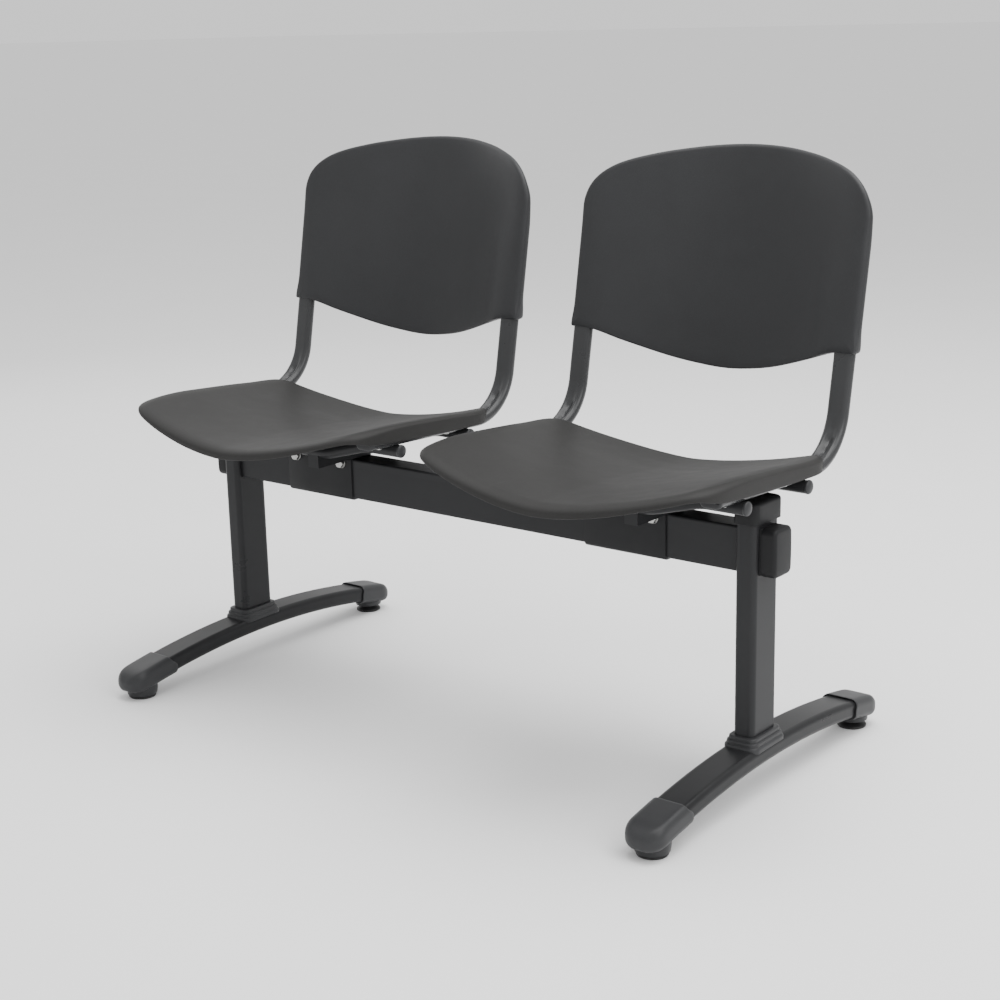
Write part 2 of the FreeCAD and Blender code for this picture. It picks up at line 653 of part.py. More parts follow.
def back_section(z):
    xs = (-226, -214, -203, -193, -184, -172, -155, -125, -90, -45, 0, 45, 90, 125, 155, 172, 184, 193, 203, 214, 226)
    w = D["back_half"]
    front = [V(x, back_face(x, z), 0) for x in xs]
    rear = [V(x * 0.999, back_face(x, z) + back_thick(x, z), 0) for x in xs]
    a = Part.BSplineCurve()
    a.interpolate(front)
    b = Part.BSplineCurve()
    b.interpolate(list(reversed(rear)))
    f0, r0 = front[-1], rear[-1]
    right = [f0, V(w, f0.y + 3, 0), V(w, r0.y - 3, 0), r0]
    edges = [a]
    for p, q in zip(right[:-1], right[1:]):
        edges.append(Part.LineSegment(p, q))
    edges.append(b)
    left = [V(-p.x, p.y, 0) for p in reversed(right)]
    for p, q in zip(left[:-1], left[1:]):
        edges.append(Part.LineSegment(p, q))
    return edges


def arm_path():
    # centre line of the bent arm in the YZ plane
    fall = math.radians(D["arm_fall"])
    lean = math.radians(D["arm_lean"])
    y0, z0 = D["arm_front"], D["arm_front_level"]
    a = (math.cos(fall), -math.sin(fall))
    b = (math.sin(lean), math.cos(lean))
    # corner where both legs meet
    dy, dz = D["arm_rear_at"] - y0, D["arm_rear_level"] - z0
    det = a[0] * (-b[1]) - a[1] * (-b[0])
    s = (dy * (-b[1]) - dz * (-b[0])) / det
    corner = (y0 + a[0] * s, z0 + a[1] * s)
    turn = math.acos(a[0] * b[0] + a[1] * b[1])
    t = D["arm_bend"] * math.tan(turn / 2)
    p1 = (corner[0] - a[0] * t, corner[1] - a[1] * t)
    p2 = (corner[0] + b[0] * t, corner[1] + b[1] * t)
    c = (p1[0] - a[1] * D["arm_bend"], p1[1] + a[0] * D["arm_bend"])
    m = ((p1[0] + p2[0]) / 2 - c[0], (p1[1] + p2[1]) / 2 - c[1])
    k = D["arm_bend"] / math.hypot(*m)
    mid = (c[0] + m[0] * k, c[1] + m[1] * k)
    up = (D["arm_top"] - p2[1]) / b[1]
    p3 = (p2[0] + b[0] * up, p2[1] + b[1] * up)
    return (y0, z0), p1, mid, p2, p3


def bent_arm(label, room=0.0):
    # room > 0 gives the solid space that the arm needs in the mouldings
    b = body_of(label)
    p0, p1, mid, p2, p3 = arm_path()
    path = sketch(b, "YZ_Plane")
    path.addGeometry(Part.LineSegment(V(p0[0], p0[1], 0), V(p1[0], p1[1], 0)), False)
    path.addGeometry(Part.Arc(V(p1[0], p1[1], 0), V(mid[0], mid[1], 0), V(p2[0], p2[1], 0)), False)
    path.addGeometry(Part.LineSegment(V(p2[0], p2[1], 0), V(p3[0], p3[1], 0)), False)
    kinds = [("(%s)" % (-2 * room), "PartDesign::AdditivePipe"), ("2*arm_wall", "PartDesign::SubtractivePipe")]
    for grow, kind in kinds[:1] if room else kinds:
        prof = soft_rectangle(b, "XZ_Plane", "arm_wide-%s" % grow, "arm_thick-%s" % grow, "7.3-%s/2" % grow, 0, "arm_front_level", "-arm_front")
        f = b.newObject(kind, nm("pipe"))
        f.Profile = prof
        f.Spine = (path, [])
        f.Mode = "Standard"
        doc.recompute()
    return b


print("sections ready")
for side, tag in ((-1, "left"), (1, "right")):
    cx = "%d*seat_pitch/2" % side
    seat = tag + "_seat"

    # sleeve round the beam
    sl = rect_tube("sleeve_tube_" + tag, "beam_tall+2*sleeve_wall", "beam_deep+2*sleeve_wall", "sleeve_length", "beam_round+sleeve_wall", "(sleeve_wall-0.1)")
    place(sl, cx + "-sleeve_length/2", "mid_depth", "beam_level", TO_X)
    drill = [rod("bolt_radius+0.3", 70, cx + "+%d*bolt_out" % k, "mid_depth-35", "bolt_level", TO_Y) for k in (-1, 1)]
    node(cut(sl, *drill), "beam_sleeve_" + tag)

    # front to back channels on the sleeve, notched for the cross tubes
    for k, where in ((-1, "left"), (1, "right")):
        low = "beam_level+beam_tall/2+sleeve_wall"
        xb = cx + "+%d*bracket_out" % k
        ch = box("bracket_wide", "bracket_length", "bracket_top-(%s)" % low, xb + "-bracket_wide/2", "bracket_front", low)
        gut = box("bracket_wide-2*bracket_wall", "bracket_length-2*bracket_wall", "bracket_top-(%s)-bracket_wall" % low,
                  xb + "-bracket_wide/2+bracket_wall", "bracket_front+bracket_wall", low + "-0.01")
        n1 = rod("cross_radius+0.04", 40, xb + "-20", "cross_front_at", "cross_front_low", TO_X)
        n2 = rod("cross_radius+0.04", 40, xb + "-20", "cross_rear_at", "cross_rear_low", TO_X)
        node(cut(ch, gut, n1, n2), "%s_bracket_%s" % (seat, where))

    # cranked cross tubes, flattened where the arms lie on them, with domed plugs
    plugs = []
    for where in ("front", "rear"):
        y0 = "cross_%s_at" % where
        z0 = "cross_%s_low" % where
        at = D["cross_%s_at" % where]
        b = cranked_tube("cross_%s_%s" % (where, tag))
        place(b, cx, y0, z0)
        flats = []
        for k in (-1, 1):
            block = box(40, 40, 12, 0, 0, 0)
            block.Placement = PL(V(0, at, arm_under(at) - 0.02), Rot(V(1, 0, 0), -D["arm_fall"])).multiply(PL(V(-20, -20, 0), Rot()))
            bind(block, "Placement.Base.x", cx + "+%d*arm_out-20" % k)
            flats.append(block)
        node(cut(b, *flats), "%s_cross_tube_%s" % (seat, where))
        for k in (-1, 1):
            turn = TO_X if k > 0 else Rot(V(0, 1, 0), -90)
            zc = z0 + "+cross_rise"
            disc = rod("cross_radius+0.3", 3.0, cx + "+%d*cross_reach" % k, y0, zc, turn)
            dome = doc.addObject("Part::Cone", nm("dome"))
            bind(dome, "Radius1", "cross_radius+0.3")
            bind(dome, "Radius2", "cross_radius-3")
            bind(dome, "Height", "2.8")
            place(dome, cx + "+%d*(cross_reach+3)" % k, y0, zc, turn)
            core = rod("cross_radius-cross_wall-0.1", 9, cx + "+%d*(cross_reach-8.9)" % k, y0, zc, turn)
            plugs.append(fuse(disc, dome, core))
    node(group(*plugs), "%s_cross_plugs" % seat)

    # bent arms
    for k, where in ((-1, "left"), (1, "right")):
        b = bent_arm("arm_%s_%s" % (tag, where))
        place(b, cx + "+%d*arm_out" % k, 0, 0)
        taps = [rod(2.6, 45, cx + "+%d*arm_out" % k, y, 400) for y in SCREWS_AT]
        taps.append(rod(2.15, 20, cx + "+%d*arm_out" % k, arm_rear_y(BACK_SCREW), BACK_SCREW, TO_Y))
        node(cut(b, *taps), "%s_arm_%s" % (seat, where))

    # plugs in the front ends of the arms
    plugs = []
    for k in (-1, 1):
        x0 = cx + "+%d*arm_out" % k
        flange = box("arm_wide+0.6", 3.5, "arm_thick+0.6", x0 + "-arm_wide/2-0.3", "arm_front-3.5", "arm_front_level-arm_thick/2-0.3")
        rounder = doc.addObject("Part::Fillet", nm("round"))
        doc.recompute()
        rounder.Base = flange
        rounder.Edges = [(i + 1, 3.0, 3.0) for i, e in enumerate(flange.Shape.Edges) if 3.4 < e.Length < 3.6]
        core = box(20, 14, 9, x0 + "-10", "arm_front-0.5", "arm_front_level-4.7")
        plugs.append(fuse(rounder, core))
    node(group(*plugs), "%s_arm_plugs" % seat)

    print("frame", tag)
    # seat shell: lofted stations trimmed by its plan outline, with screw bosses underneath
    ys = (-246, -238, -225, -205, -180, -110, -46, 0, 50, 90, 128)
    body = loft([station_sketch(seat_section(y), PL(V(0, y, 0), UPRIGHT)) for y in ys])
    plan = SEAT_PLAN + [(-x, y) for x, y in reversed(SEAT_PLAN[1:-1])]
    trimmed = common(body, outline_solid(plan, Rot(), V(0, 0, 380), 100))
    room = [place(bent_arm("arm_room_%s_%d" % (tag, k), 0.3), "%d*arm_out" % k, 0, 0) for k in (-1, 1)]
    trimmed = cut(trimmed, *room)
    bosses = []
    for k in (-1, 1):
        for y in SCREWS_AT:
            arm_top = arm_under(y) + D["arm_thick"]
            peak = seat_top(D["arm_out"], y) - 1.5
            post = rod(7, peak - arm_top - 0.3, "%d*arm_out" % k, y, arm_top + 0.3)
            bosses.append(cut(post, rod(2.2, max(2.0, peak - arm_top - 2.5), "%d*arm_out" % k, y, arm_top)))
    shell = fuse(trimmed, *bosses)
    place(shell, cx, 0, 0)
    node(shell, "seat_shell_" + tag)

    print("seat shell", tag)
    # backrest shell with two sockets for the arms
    zs = (500, 530, 560, 600, 650, 690, 720, 745, 770, 795, 822)
    body = loft([station_sketch(back_section(z), PL(V(0, 0, z), Rot())) for z in zs])
    half = BACK_LOW + BACK_HIGH
    ring = half + [(-x, z) for x, z in reversed(half[1:-1])]
    front_view = outline_solid(ring, UPRIGHT, V(0, 400, 0), 400)
    trimmed = common(body, front_view)
    sockets = []
    lean = D["arm_lean"]
    for k in (-1, 1):
        # the socket runs along the arm's own leaning axis
        pocket_box = box("arm_wide+0.4", "arm_thick+0.4", 113, 0, 0, 0)
        axis = Rot(V(1, 0, 0), -lean)
        start = V(k * D["arm_out"], D["arm_rear_at"] + math.tan(math.radians(lean)) * (530 - D["arm_rear_level"]), 530)
        pocket_box.Placement = PL(start, axis).multiply(PL(V(-D["arm_wide"] / 2 - 0.2, -D["arm_thick"] / 2 - 0.2, 0), Rot()))
        sockets.append(pocket_box)
        sockets.append(rod(2.3, 30, "%d*arm_out" % k, arm_rear_y(BACK_SCREW), BACK_SCREW, TO_Y))
        seat_of_head = back_face(D["arm_out"], BACK_SCREW) + back_thick(D["arm_out"], BACK_SCREW) - 1.2
        sockets.append(rod(4.7, 12, "%d*arm_out" % k, seat_of_head, BACK_SCREW, TO_Y))
    shell = cut(trimmed, *sockets)
    place(shell, cx, 0, 0)
    node(shell, "back_shell_" + tag)

print("seats")
# clamp bolts through sleeves and beam, with their nuts
bolts, nuts = [], []
for side in (-1, 1):
    for k in (-1, 1):
        x = "%d*seat_pitch/2+%d*bolt_out" % (side, k)
        y0 = "mid_depth-beam_deep/2-sleeve_wall"
        washer = rod(8, 1.4, x, y0, "bolt_level", TO_BACK_Y)
        head = hexagon(7.5, 5.0, x, y0 + "-1.4", "bolt_level", TO_BACK_Y)
        shank = rod("bolt_radius-0.05", 62, x, y0 + "-1", "bolt_level", TO_Y)
        bolts.append(fuse(head, washer, shank))
        nut = hexagon(7.5, 6.5, x, "mid_depth+beam_deep/2+sleeve_wall+0.02", "bolt_level", TO_Y)
        nuts.append(cut(nut, rod("bolt_radius-0.05", 30, x, "mid_depth+beam_deep/2", "bolt_level", TO_Y)))
node(group(*bolts), "sleeve_bolts")
node(group(*nuts), "sleeve_nuts")

# screws up through the arms into the seat bosses, and from behind into the arms
screws, back_screws = [], []
for side in (-1, 1):
    for k in (-1, 1):
        x = "%d*seat_pitch/2+%d*arm_out" % (side, k)
        for y in SCREWS_AT:
            low = arm_under(y)
            head = rod(4.5, 2.6, x, y, low - 2.8)
            shank = rod(2.1, 19, x, y, low - 0.5)
            screws.append(fuse(head, shank))
        zb = BACK_SCREW
        rear = back_face(D["arm_out"], zb) + back_thick(D["arm_out"], zb)
        head = rod(4.5, 2.4, x, rear - 1.1, zb, TO_Y)
        shank = rod(2.1, 9, x, rear - 8.5, zb, TO_Y)
        back_screws.append(fuse(head, shank))
node(group(*screws), "seat_screws")
node(group(*back_screws), "back_screws")

# ---------------------------------------------------------------- checks and output
doc.recompute()
bad = [o.Label for o in doc.Objects if "Invalid" in o.State or "Error" in o.State]
if bad:
    raise SystemExit("failed objects: %s" % bad)
if len(final) > 60:
    raise SystemExit("too many nodes: %d" % len(final))
for label, obj in final.items():
    s = obj.Shape
    if s.isNull() or not s.isValid() or not s.Solids or s.Volume <= 0:
        raise SystemExit("bad shape: %s null=%s valid=%s" % (label, s.isNull(), s.isValid()))
os.makedirs("parts", exist_ok=True)
for label, obj in final.items():
    s = obj.Shape
    (s.Solids[0] if len(s.Solids) == 1 else s).exportStep(os.path.join("parts", label + ".step"))
whole = Part.makeCompound([o.Shape for o in final.values()])
bb = whole.BoundBox
print("nodes %d, box x %.2f..%.2f y %.2f..%.2f z %.2f..%.2f" % (len(final), bb.XMin, bb.XMax, bb.YMin, bb.YMax, bb.ZMin, bb.ZMax))
for label, obj in final.items():
    s = obj.Shape
    print("%-34s solids %d volume %.0f" % (label, len(s.Solids), s.Volume))
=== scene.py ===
import json
import math

import bpy
import bmesh
import numpy as np
from mathutils import Matrix, Vector


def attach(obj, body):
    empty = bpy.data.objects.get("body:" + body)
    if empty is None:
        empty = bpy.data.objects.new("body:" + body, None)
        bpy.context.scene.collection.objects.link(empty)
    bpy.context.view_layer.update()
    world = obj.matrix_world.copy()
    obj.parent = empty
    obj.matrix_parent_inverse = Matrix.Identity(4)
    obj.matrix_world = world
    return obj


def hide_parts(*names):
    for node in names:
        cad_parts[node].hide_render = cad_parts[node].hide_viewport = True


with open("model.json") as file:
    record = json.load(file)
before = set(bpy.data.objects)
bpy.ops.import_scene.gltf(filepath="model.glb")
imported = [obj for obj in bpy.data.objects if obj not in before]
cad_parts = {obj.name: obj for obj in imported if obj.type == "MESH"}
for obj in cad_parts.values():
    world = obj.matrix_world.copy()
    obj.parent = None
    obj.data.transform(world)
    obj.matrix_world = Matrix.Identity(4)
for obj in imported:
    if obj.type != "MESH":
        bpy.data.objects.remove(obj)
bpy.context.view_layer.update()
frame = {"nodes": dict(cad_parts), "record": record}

NODES = frame["nodes"]
MM = 0.001
PITCH = 278.0
LEG = 466.0
MID_Y = -17.0
DROP = 5.3      # heights of all parts but the glides are written this much too high and lowered in make()


# ---------------------------------------------------------------- materials
def new_material(name, base, rough, metal=0.0, spec=0.5):
    m = bpy.data.materials.new(name)
    m.use_nodes = True
    m.diffuse_color = (*base, 1)
    nt = m.node_tree
    p = nt.nodes["Principled BSDF"]
    p.inputs["Base Color"].default_value = (*base, 1)
    p.inputs["Roughness"].default_value = rough
    p.inputs["Metallic"].default_value = metal
    p.inputs["Specular IOR Level"].default_value = spec
    return m, nt, p


def node(nt, kind, **values):
    n = nt.nodes.new(kind)
    for k, v in values.items():
        if k.startswith("p_"):
            setattr(n, k[2:], v)
        else:
            n.inputs[k.replace("_", " ")].default_value = v
    return n


def ramp(nt, src, stops):
    r = nt.nodes.new("ShaderNodeValToRGB")
    e = r.color_ramp.elements
    while len(e) < len(stops):
        e.new(0.5)
    for el, (pos, col) in zip(e, stops):
        el.position = pos
        el.color = (*col, 1) if len(col) == 3 else col
    nt.links.new(src, r.inputs["Fac"])
    return r.outputs["Color"]


def mix(nt, fac, a, b, mode="MIX"):
    n = nt.nodes.new("ShaderNodeMix")
    n.data_type = "RGBA"
    n.blend_type = mode
    for sock, v in ((n.inputs[0], fac), (n.inputs[6], a), (n.inputs[7], b)):
        if hasattr(v, "is_linked") or hasattr(v, "links"):
            nt.links.new(v, sock)
        elif isinstance(v, tuple):
            sock.default_value = (*v, 1)
        else:
            sock.default_value = v
    return n.outputs[2]


def math_node(nt, op, a, b=0.0, clamp=False):
    n = nt.nodes.new("ShaderNodeMath")
    n.operation = op
    n.use_clamp = clamp
    for sock, v in ((n.inputs[0], a), (n.inputs[1], b)):
        if hasattr(v, "links"):
            nt.links.new(v, sock)
        else:
            sock.default_value = v
    return n.outputs[0]


def grey(v, warm=0.0):
    return (v * (1 + warm), v, v * (1 - warm))


def plastic(name, base, rough, grain_mm=0.55, grain_depth=0.05, sheen=0.0, edge=0.25, spec=0.5):
    # moulded plastic: fine eroded grain, faint flow variation, handling marks, paler worn edges
    m, nt, p = new_material(name, base, rough, spec=spec)
    L = nt.links
    tc = node(nt, "ShaderNodeTexCoord")
    wide = node(nt, "ShaderNodeTexNoise", Scale=6.0, Detail=4.0, Roughness=0.55)
    cloud = node(nt, "ShaderNodeTexNoise", Scale=38.0, Detail=6.0, Roughness=0.6)
    grain = node(nt, "ShaderNodeTexNoise", Scale=1000.0 / grain_mm / 2, Detail=3.0, Roughness=0.65)
    pits = node(nt, "ShaderNodeTexVoronoi", Scale=1000.0 / grain_mm / 1.4)
    scuff = node(nt, "ShaderNodeTexNoise", Scale=90.0, Detail=9.0, Roughness=0.72, Distortion=0.6)
    stretch = node(nt, "ShaderNodeMapping")
    stretch.inputs["Scale"].default_value = (1.0, 0.22, 1.0)
    L.new(tc.outputs["Object"], stretch.inputs["Vector"])
    L.new(stretch.outputs["Vector"], scuff.inputs["Vector"])
    for t in (wide, cloud, grain, pits):
        L.new(tc.outputs["Object"], t.inputs["Vector"])
    b = base
    col = ramp(nt, wide.outputs["Fac"], [(0.3, tuple(c * 0.93 for c in b)), (0.7, tuple(c * 1.07 for c in b))])
    col = mix(nt, ramp(nt, cloud.outputs["Fac"], [(0.35, (0, 0, 0)), (0.75, (0.35, 0.35, 0.35))]), col, tuple(c * 1.16 for c in b))
    speck = ramp(nt, grain.outputs["Fac"], [(0.35, (0.86, 0.86, 0.86)), (0.65, (1.12, 1.12, 1.12))])
    col = mix(nt, 0.55, col, speck, "MULTIPLY")
    marks = ramp(nt, scuff.outputs["Fac"], [(0.60, (0, 0, 0)), (0.74, (0.5, 0.5, 0.5))])
    col = mix(nt, math_node(nt, "MULTIPLY", marks, 0.14), col, tuple(min(1, c * 2.2 + 0.004) for c in b))
    geo = node(nt, "ShaderNodeNewGeometry")
    rim = ramp(nt, geo.outputs["Pointiness"], [(0.52, (0, 0, 0)), (0.60, (1, 1, 1))])
    col = mix(nt, math_node(nt, "MULTIPLY", rim, edge), col, tuple(min(1, c * 1.8 + 0.004) for c in b))
    L.new(col, p.inputs["Base Color"])
    r = math_node(nt, "MULTIPLY", cloud.outputs["Fac"], 0.12)
    r = math_node(nt, "ADD", r, rough - 0.06)
    r = math_node(nt, "ADD", r, math_node(nt, "MULTIPLY", marks, -0.10))
    L.new(r, p.inputs["Roughness"])
    h = math_node(nt, "ADD", math_node(nt, "MULTIPLY", grain.outputs["Fac"], 0.7), math_node(nt, "MULTIPLY", pits.outputs["Distance"], 0.5))
    bump = node(nt, "ShaderNodeBump", Strength=0.32, Distance=grain_depth * MM)
    L.new(h, bump.inputs["Height"])
    swell = node(nt, "ShaderNodeBump", Strength=0.10, Distance=0.6 * MM)
    L.new(wide.outputs["Fac"], swell.inputs["Height"])
    L.new(swell.outputs["Normal"], bump.inputs["Normal"])
    L.new(bump.outputs["Normal"], p.inputs["Normal"])
    if sheen:
        p.inputs["Sheen Weight"].default_value = sheen
        p.inputs["Sheen Roughness"].default_value = 0.5
    return m


def powder(name, base, rough, spec=0.5):
    # powder coat: orange peel, slightly uneven gloss, dust on upward faces, thin worn edges
    m, nt, p = new_material(name, base, rough, spec=spec)
    L = nt.links
    tc = node(nt, "ShaderNodeTexCoord")
    wide = node(nt, "ShaderNodeTexNoise", Scale=9.0, Detail=5.0, Roughness=0.6)
    peel = node(nt, "ShaderNodeTexNoise", Scale=620.0, Detail=2.0, Roughness=0.5)
    fine = node(nt, "ShaderNodeTexNoise", Scale=2300.0, Detail=2.0, Roughness=0.6)
    for t in (wide, peel, fine):
        L.new(tc.outputs["Object"], t.inputs["Vector"])
    b = base
    col = ramp(nt, wide.outputs["Fac"], [(0.3, tuple(c * 0.88 for c in b)), (0.72, tuple(c * 1.12 for c in b))])
    speck = ramp(nt, fine.outputs["Fac"], [(0.35, (0.82, 0.82, 0.82)), (0.68, (1.2, 1.2, 1.2))])
    col = mix(nt, 0.5, col, speck, "MULTIPLY")
    geo = node(nt, "ShaderNodeNewGeometry")
    sep = node(nt, "ShaderNodeSeparateXYZ")
    L.new(geo.outputs["Normal"], sep.inputs[0])
    up = math_node(nt, "MULTIPLY", math_node(nt, "SUBTRACT", sep.outputs["Z"], 0.4, clamp=True), wide.outputs["Fac"])
    col = mix(nt, math_node(nt, "MULTIPLY", up, 0.045), col, (0.22, 0.215, 0.21))
    rim = ramp(nt, geo.outputs["Pointiness"], [(0.53, (0, 0, 0)), (0.62, (1, 1, 1))])
    col = mix(nt, math_node(nt, "MULTIPLY", rim, 0.3), col, tuple(c * 2.0 + 0.006 for c in b))
    L.new(col, p.inputs["Base Color"])
    r = math_node(nt, "ADD", math_node(nt, "MULTIPLY", wide.outputs["Fac"], 0.14), rough - 0.07)
    r = math_node(nt, "ADD", r, math_node(nt, "MULTIPLY", up, 0.12))
    L.new(r, p.inputs["Roughness"])
    h = math_node(nt, "ADD", peel.outputs["Fac"], math_node(nt, "MULTIPLY", fine.outputs["Fac"], 0.35))
    bump = node(nt, "ShaderNodeBump", Strength=0.35, Distance=0.06 * MM)
    L.new(h, bump.inputs["Height"])
    L.new(bump.outputs["Normal"], p.inputs["Normal"])
    return m


def zinc(name):
    # zinc plated steel: bright, faintly mottled and brushed
    base = (0.40, 0.40, 0.39)
    m, nt, p = new_material(name, base, 0.36, metal=1.0)
    L = nt.links
    tc = node(nt, "ShaderNodeTexCoord")
    spot = node(nt, "ShaderNodeTexVoronoi", Scale=420.0)
    cloud = node(nt, "ShaderNodeTexNoise", Scale=160.0, Detail=6.0, Roughness=0.65)
    streak = node(nt, "ShaderNodeTexNoise", Scale=900.0, Detail=2.0)
    mp = node(nt, "ShaderNodeMapping")
    mp.inputs["Scale"].default_value = (0.12, 1.0, 1.0)
    L.new(tc.outputs["Object"], mp.inputs["Vector"])
    L.new(mp.outputs["Vector"], streak.inputs["Vector"])
    for t in (spot, cloud):
        L.new(tc.outputs["Object"], t.inputs["Vector"])
    col = ramp(nt, cloud.outputs["Fac"], [(0.3, (0.27, 0.27, 0.265)), (0.7, (0.48, 0.48, 0.47))])
    col = mix(nt, 0.35, col, ramp(nt, spot.outputs["Distance"], [(0.0, (0.75, 0.75, 0.76)), (0.6, (1.1, 1.1, 1.08))]), "MULTIPLY")
    L.new(col, p.inputs["Base Color"])
    r = math_node(nt, "ADD", math_node(nt, "MULTIPLY", cloud.outputs["Fac"], 0.25), 0.2)
    L.new(r, p.inputs["Roughness"])
    bump = node(nt, "ShaderNodeBump", Strength=0.25, Distance=0.03 * MM)
    L.new(streak.outputs["Fac"], bump.inputs["Height"])
    L.new(bump.outputs["Normal"], p.inputs["Normal"])
    return m


def floor_material():
    base = (0.93, 0.93, 0.93)
    m, nt, p = new_material("floor_paper", base, 0.9, spec=0.1)
    tc = node(nt, "ShaderNodeTexCoord")
    n = node(nt, "ShaderNodeTexNoise", Scale=3.0, Detail=5.0)
    nt.links.new(tc.outputs["Object"], n.inputs["Vector"])
    nt.links.new(ramp(nt, n.outputs["Fac"], [(0.3, (0.925, 0.925, 0.925)), (0.7, (0.935, 0.935, 0.935))]), p.inputs["Base Color"])
    return m


SEAT = plastic("seat_plastic", (0.0282, 0.0278, 0.0273), 0.50, grain_mm=0.7, grain_depth=0.05, edge=0.2, spec=0.09)
BACK = plastic("back_plastic", (0.027, 0.0275, 0.029), 0.45, grain_mm=0.7, grain_depth=0.05, edge=0.2, spec=0.22)
PAINT = powder("frame_paint", (0.0175, 0.0178, 0.0188), 0.30, spec=0.13)
# arm paint: a lighter copy of the frame paint; its paler base colour is painted light on the arm tubes
ARM_PAINTED_LIGHT = powder("arm_paint", (0.030, 0.0307, 0.032), 0.27, spec=0.34)
CAP = plastic("cap_plastic", (0.030, 0.0305, 0.032), 0.40, grain_mm=0.5, grain_depth=0.04, edge=0.2, spec=0.22)
# hood plastic: a darker copy of the cap plastic; its darker base colour is painted shade on the column and beam-end
# hoods
HOOD_PAINTED_SHADE = plastic("hood_plastic_painted_shade", (0.0125, 0.0127, 0.0134), 0.46, grain_mm=0.5, grain_depth=0.04, edge=0.2, spec=0.15)
GLIDE = plastic("glide_plastic", (0.024, 0.024, 0.0245), 0.50, grain_mm=0.5, grain_depth=0.04, edge=0.2, spec=0.22)
ZINC = zinc("zinc_steel")
SLOTS = {"seat_plastic": SEAT, "back_plastic": BACK, "frame_paint": PAINT, "arm_paint": ARM_PAINTED_LIGHT, "cap_plastic": CAP, "glide_plastic": GLIDE, "zinc_steel": ZINC}


# ---------------------------------------------------------------- mesh tools (millimetres in, metres out)
def make(name, verts, faces, slot, body="frame", sharp=None, replace=(), finish=None):
    me = bpy.data.meshes.new(name)
    down = DROP if body == "frame" else 0.0
    me.from_pydata([(float(v[0]) * MM, float(v[1]) * MM, (float(v[2]) - down) * MM) for v in verts], [], faces)
    me.validate()
    bm = bmesh.new()
    bm.from_mesh(me)
    bmesh.ops.remove_doubles(bm, verts=bm.verts, dist=1e-6)
    bmesh.ops.recalc_face_normals(bm, faces=bm.faces)
    bm.to_mesh(me)
    bm.free()
    for p in me.polygons:
        p.use_smooth = True
    if sharp:
        me.set_sharp_from_angle(angle=math.radians(sharp))
    ob = bpy.data.objects.new(name, me)
    bpy.context.scene.collection.objects.link(ob)
    me.materials.append(finish or SLOTS[slot])
    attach(ob, body)
    if replace:
        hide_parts(*replace)
    return ob


class Build:
    # collects several closed pieces of one object
    def __init__(self):
        self.v, self.f = [], []

    def rings(self, rings, closed=False, cap0=True, cap1=True):
        rings = [np.asarray(r, float) for r in rings]
        n = len(rings[0])
        base = len(self.v)
        for r in rings:
            self.v.extend(r.tolist())
        m = len(rings)
        for i in range(m if closed else m - 1):
            a, b = base + i * n, base + ((i + 1) % m) * n
            for j in range(n):
                k = (j + 1) % n
                self.f.append((a + j, a + k, b + k, b + j))
        if not closed:
            if cap0:
                self.f.append(tuple(base + j for j in reversed(range(n))))
            if cap1:
                self.f.append(tuple(base + (m - 1) * n + j for j in range(n)))
        return self


def rr(w, h, r, k=6, side=1):
    # rounded rectangle, counter-clockwise, centred
    r = min(r, w / 2 - 1e-4, h / 2 - 1e-4)
    corners = ((w / 2 - r, -h / 2 + r, -90), (w / 2 - r, h / 2 - r, 0), (-w / 2 + r, h / 2 - r, 90), (-w / 2 + r, -h / 2 + r, 180))
    pts = []
    for c, (cx, cy, a0) in enumerate(corners):
        arc = [(cx + r * math.cos(math.radians(a0 + 90 * i / k)), cy + r * math.sin(math.radians(a0 + 90 * i / k))) for i in range(k + 1)]
        pts += arc
        nx, ny, na = corners[(c + 1) % 4]
        q = (nx + r * math.cos(math.radians(na)), ny + r * math.sin(math.radians(na)))
        for i in range(1, side):
            t = i / side
            pts.append((arc[-1][0] * (1 - t) + q[0] * t, arc[-1][1] * (1 - t) + q[1] * t))
    return np.array(pts)


def circle(r, n=48, cx=0.0, cy=0.0):
    a = np.linspace(0, 2 * math.pi, n, endpoint=False)
    return np.stack([cx + r * np.cos(a), cy + r * np.sin(a)], -1)


def inward(outline):
    t = np.roll(outline, -1, 0) - np.roll(outline, 1, 0)
    t /= np.linalg.norm(t, axis=1)[:, None] + 1e-12
    return np.stack([-t[:, 1], t[:, 0]], -1)


def pill(b, outline, low, high, r_low, r_high, to3=None, rings=5, steps=6):
    # solid over a plan outline with rounded lower and upper edges; low and high are numbers or functions of x, y
    f_low = low if callable(low) else (lambda x, y: np.full_like(x, low, dtype=float))
    f_high = high if callable(high) else (lambda x, y: np.full_like(x, high, dtype=float))
    nrm = inward(outline)
    centre = outline.mean(0)
    out = []

    def add(p, z):
        out.append(np.column_stack([p, z]))
    inner_low = outline + nrm * r_low
    for s in np.linspace(0.02, 1, rings)[:-1]:
        p = centre + (inner_low - centre) * s
        add(p, f_low(p[:, 0], p[:, 1]))
    for i in range(steps + 1):
        a = math.radians(90 * i / steps)
        p = outline + nrm * (r_low * (1 - math.sin(a)))
        add(p, f_low(p[:, 0], p[:, 1]) + r_low * (1 - math.cos(a)))
    for i in range(steps + 1):
        a = math.radians(90 * i / steps)
        p = outline + nrm * (r_high * (1 - math.cos(a)))
        add(p, f_high(p[:, 0], p[:, 1]) - r_high * (1 - math.sin(a)))
    inner_high = outline + nrm * r_high
    for s in np.linspace(1, 0.02, rings)[1:]:
        p = centre + (inner_high - centre) * s
        add(p, f_high(p[:, 0], p[:, 1]))
    if to3 is not None:
        out = [to3(r) for r in out]
    b.rings(out)


def lathe(b, profile, n=64, to3=None):
    rings = []
    for r, z in profile:
        c = circle(max(r, 0.02), n)
        rings.append(np.column_stack([c, np.full(n, float(z))]))
    if to3 is not None:
        rings = [to3(r) for r in rings]
    b.rings(rings)


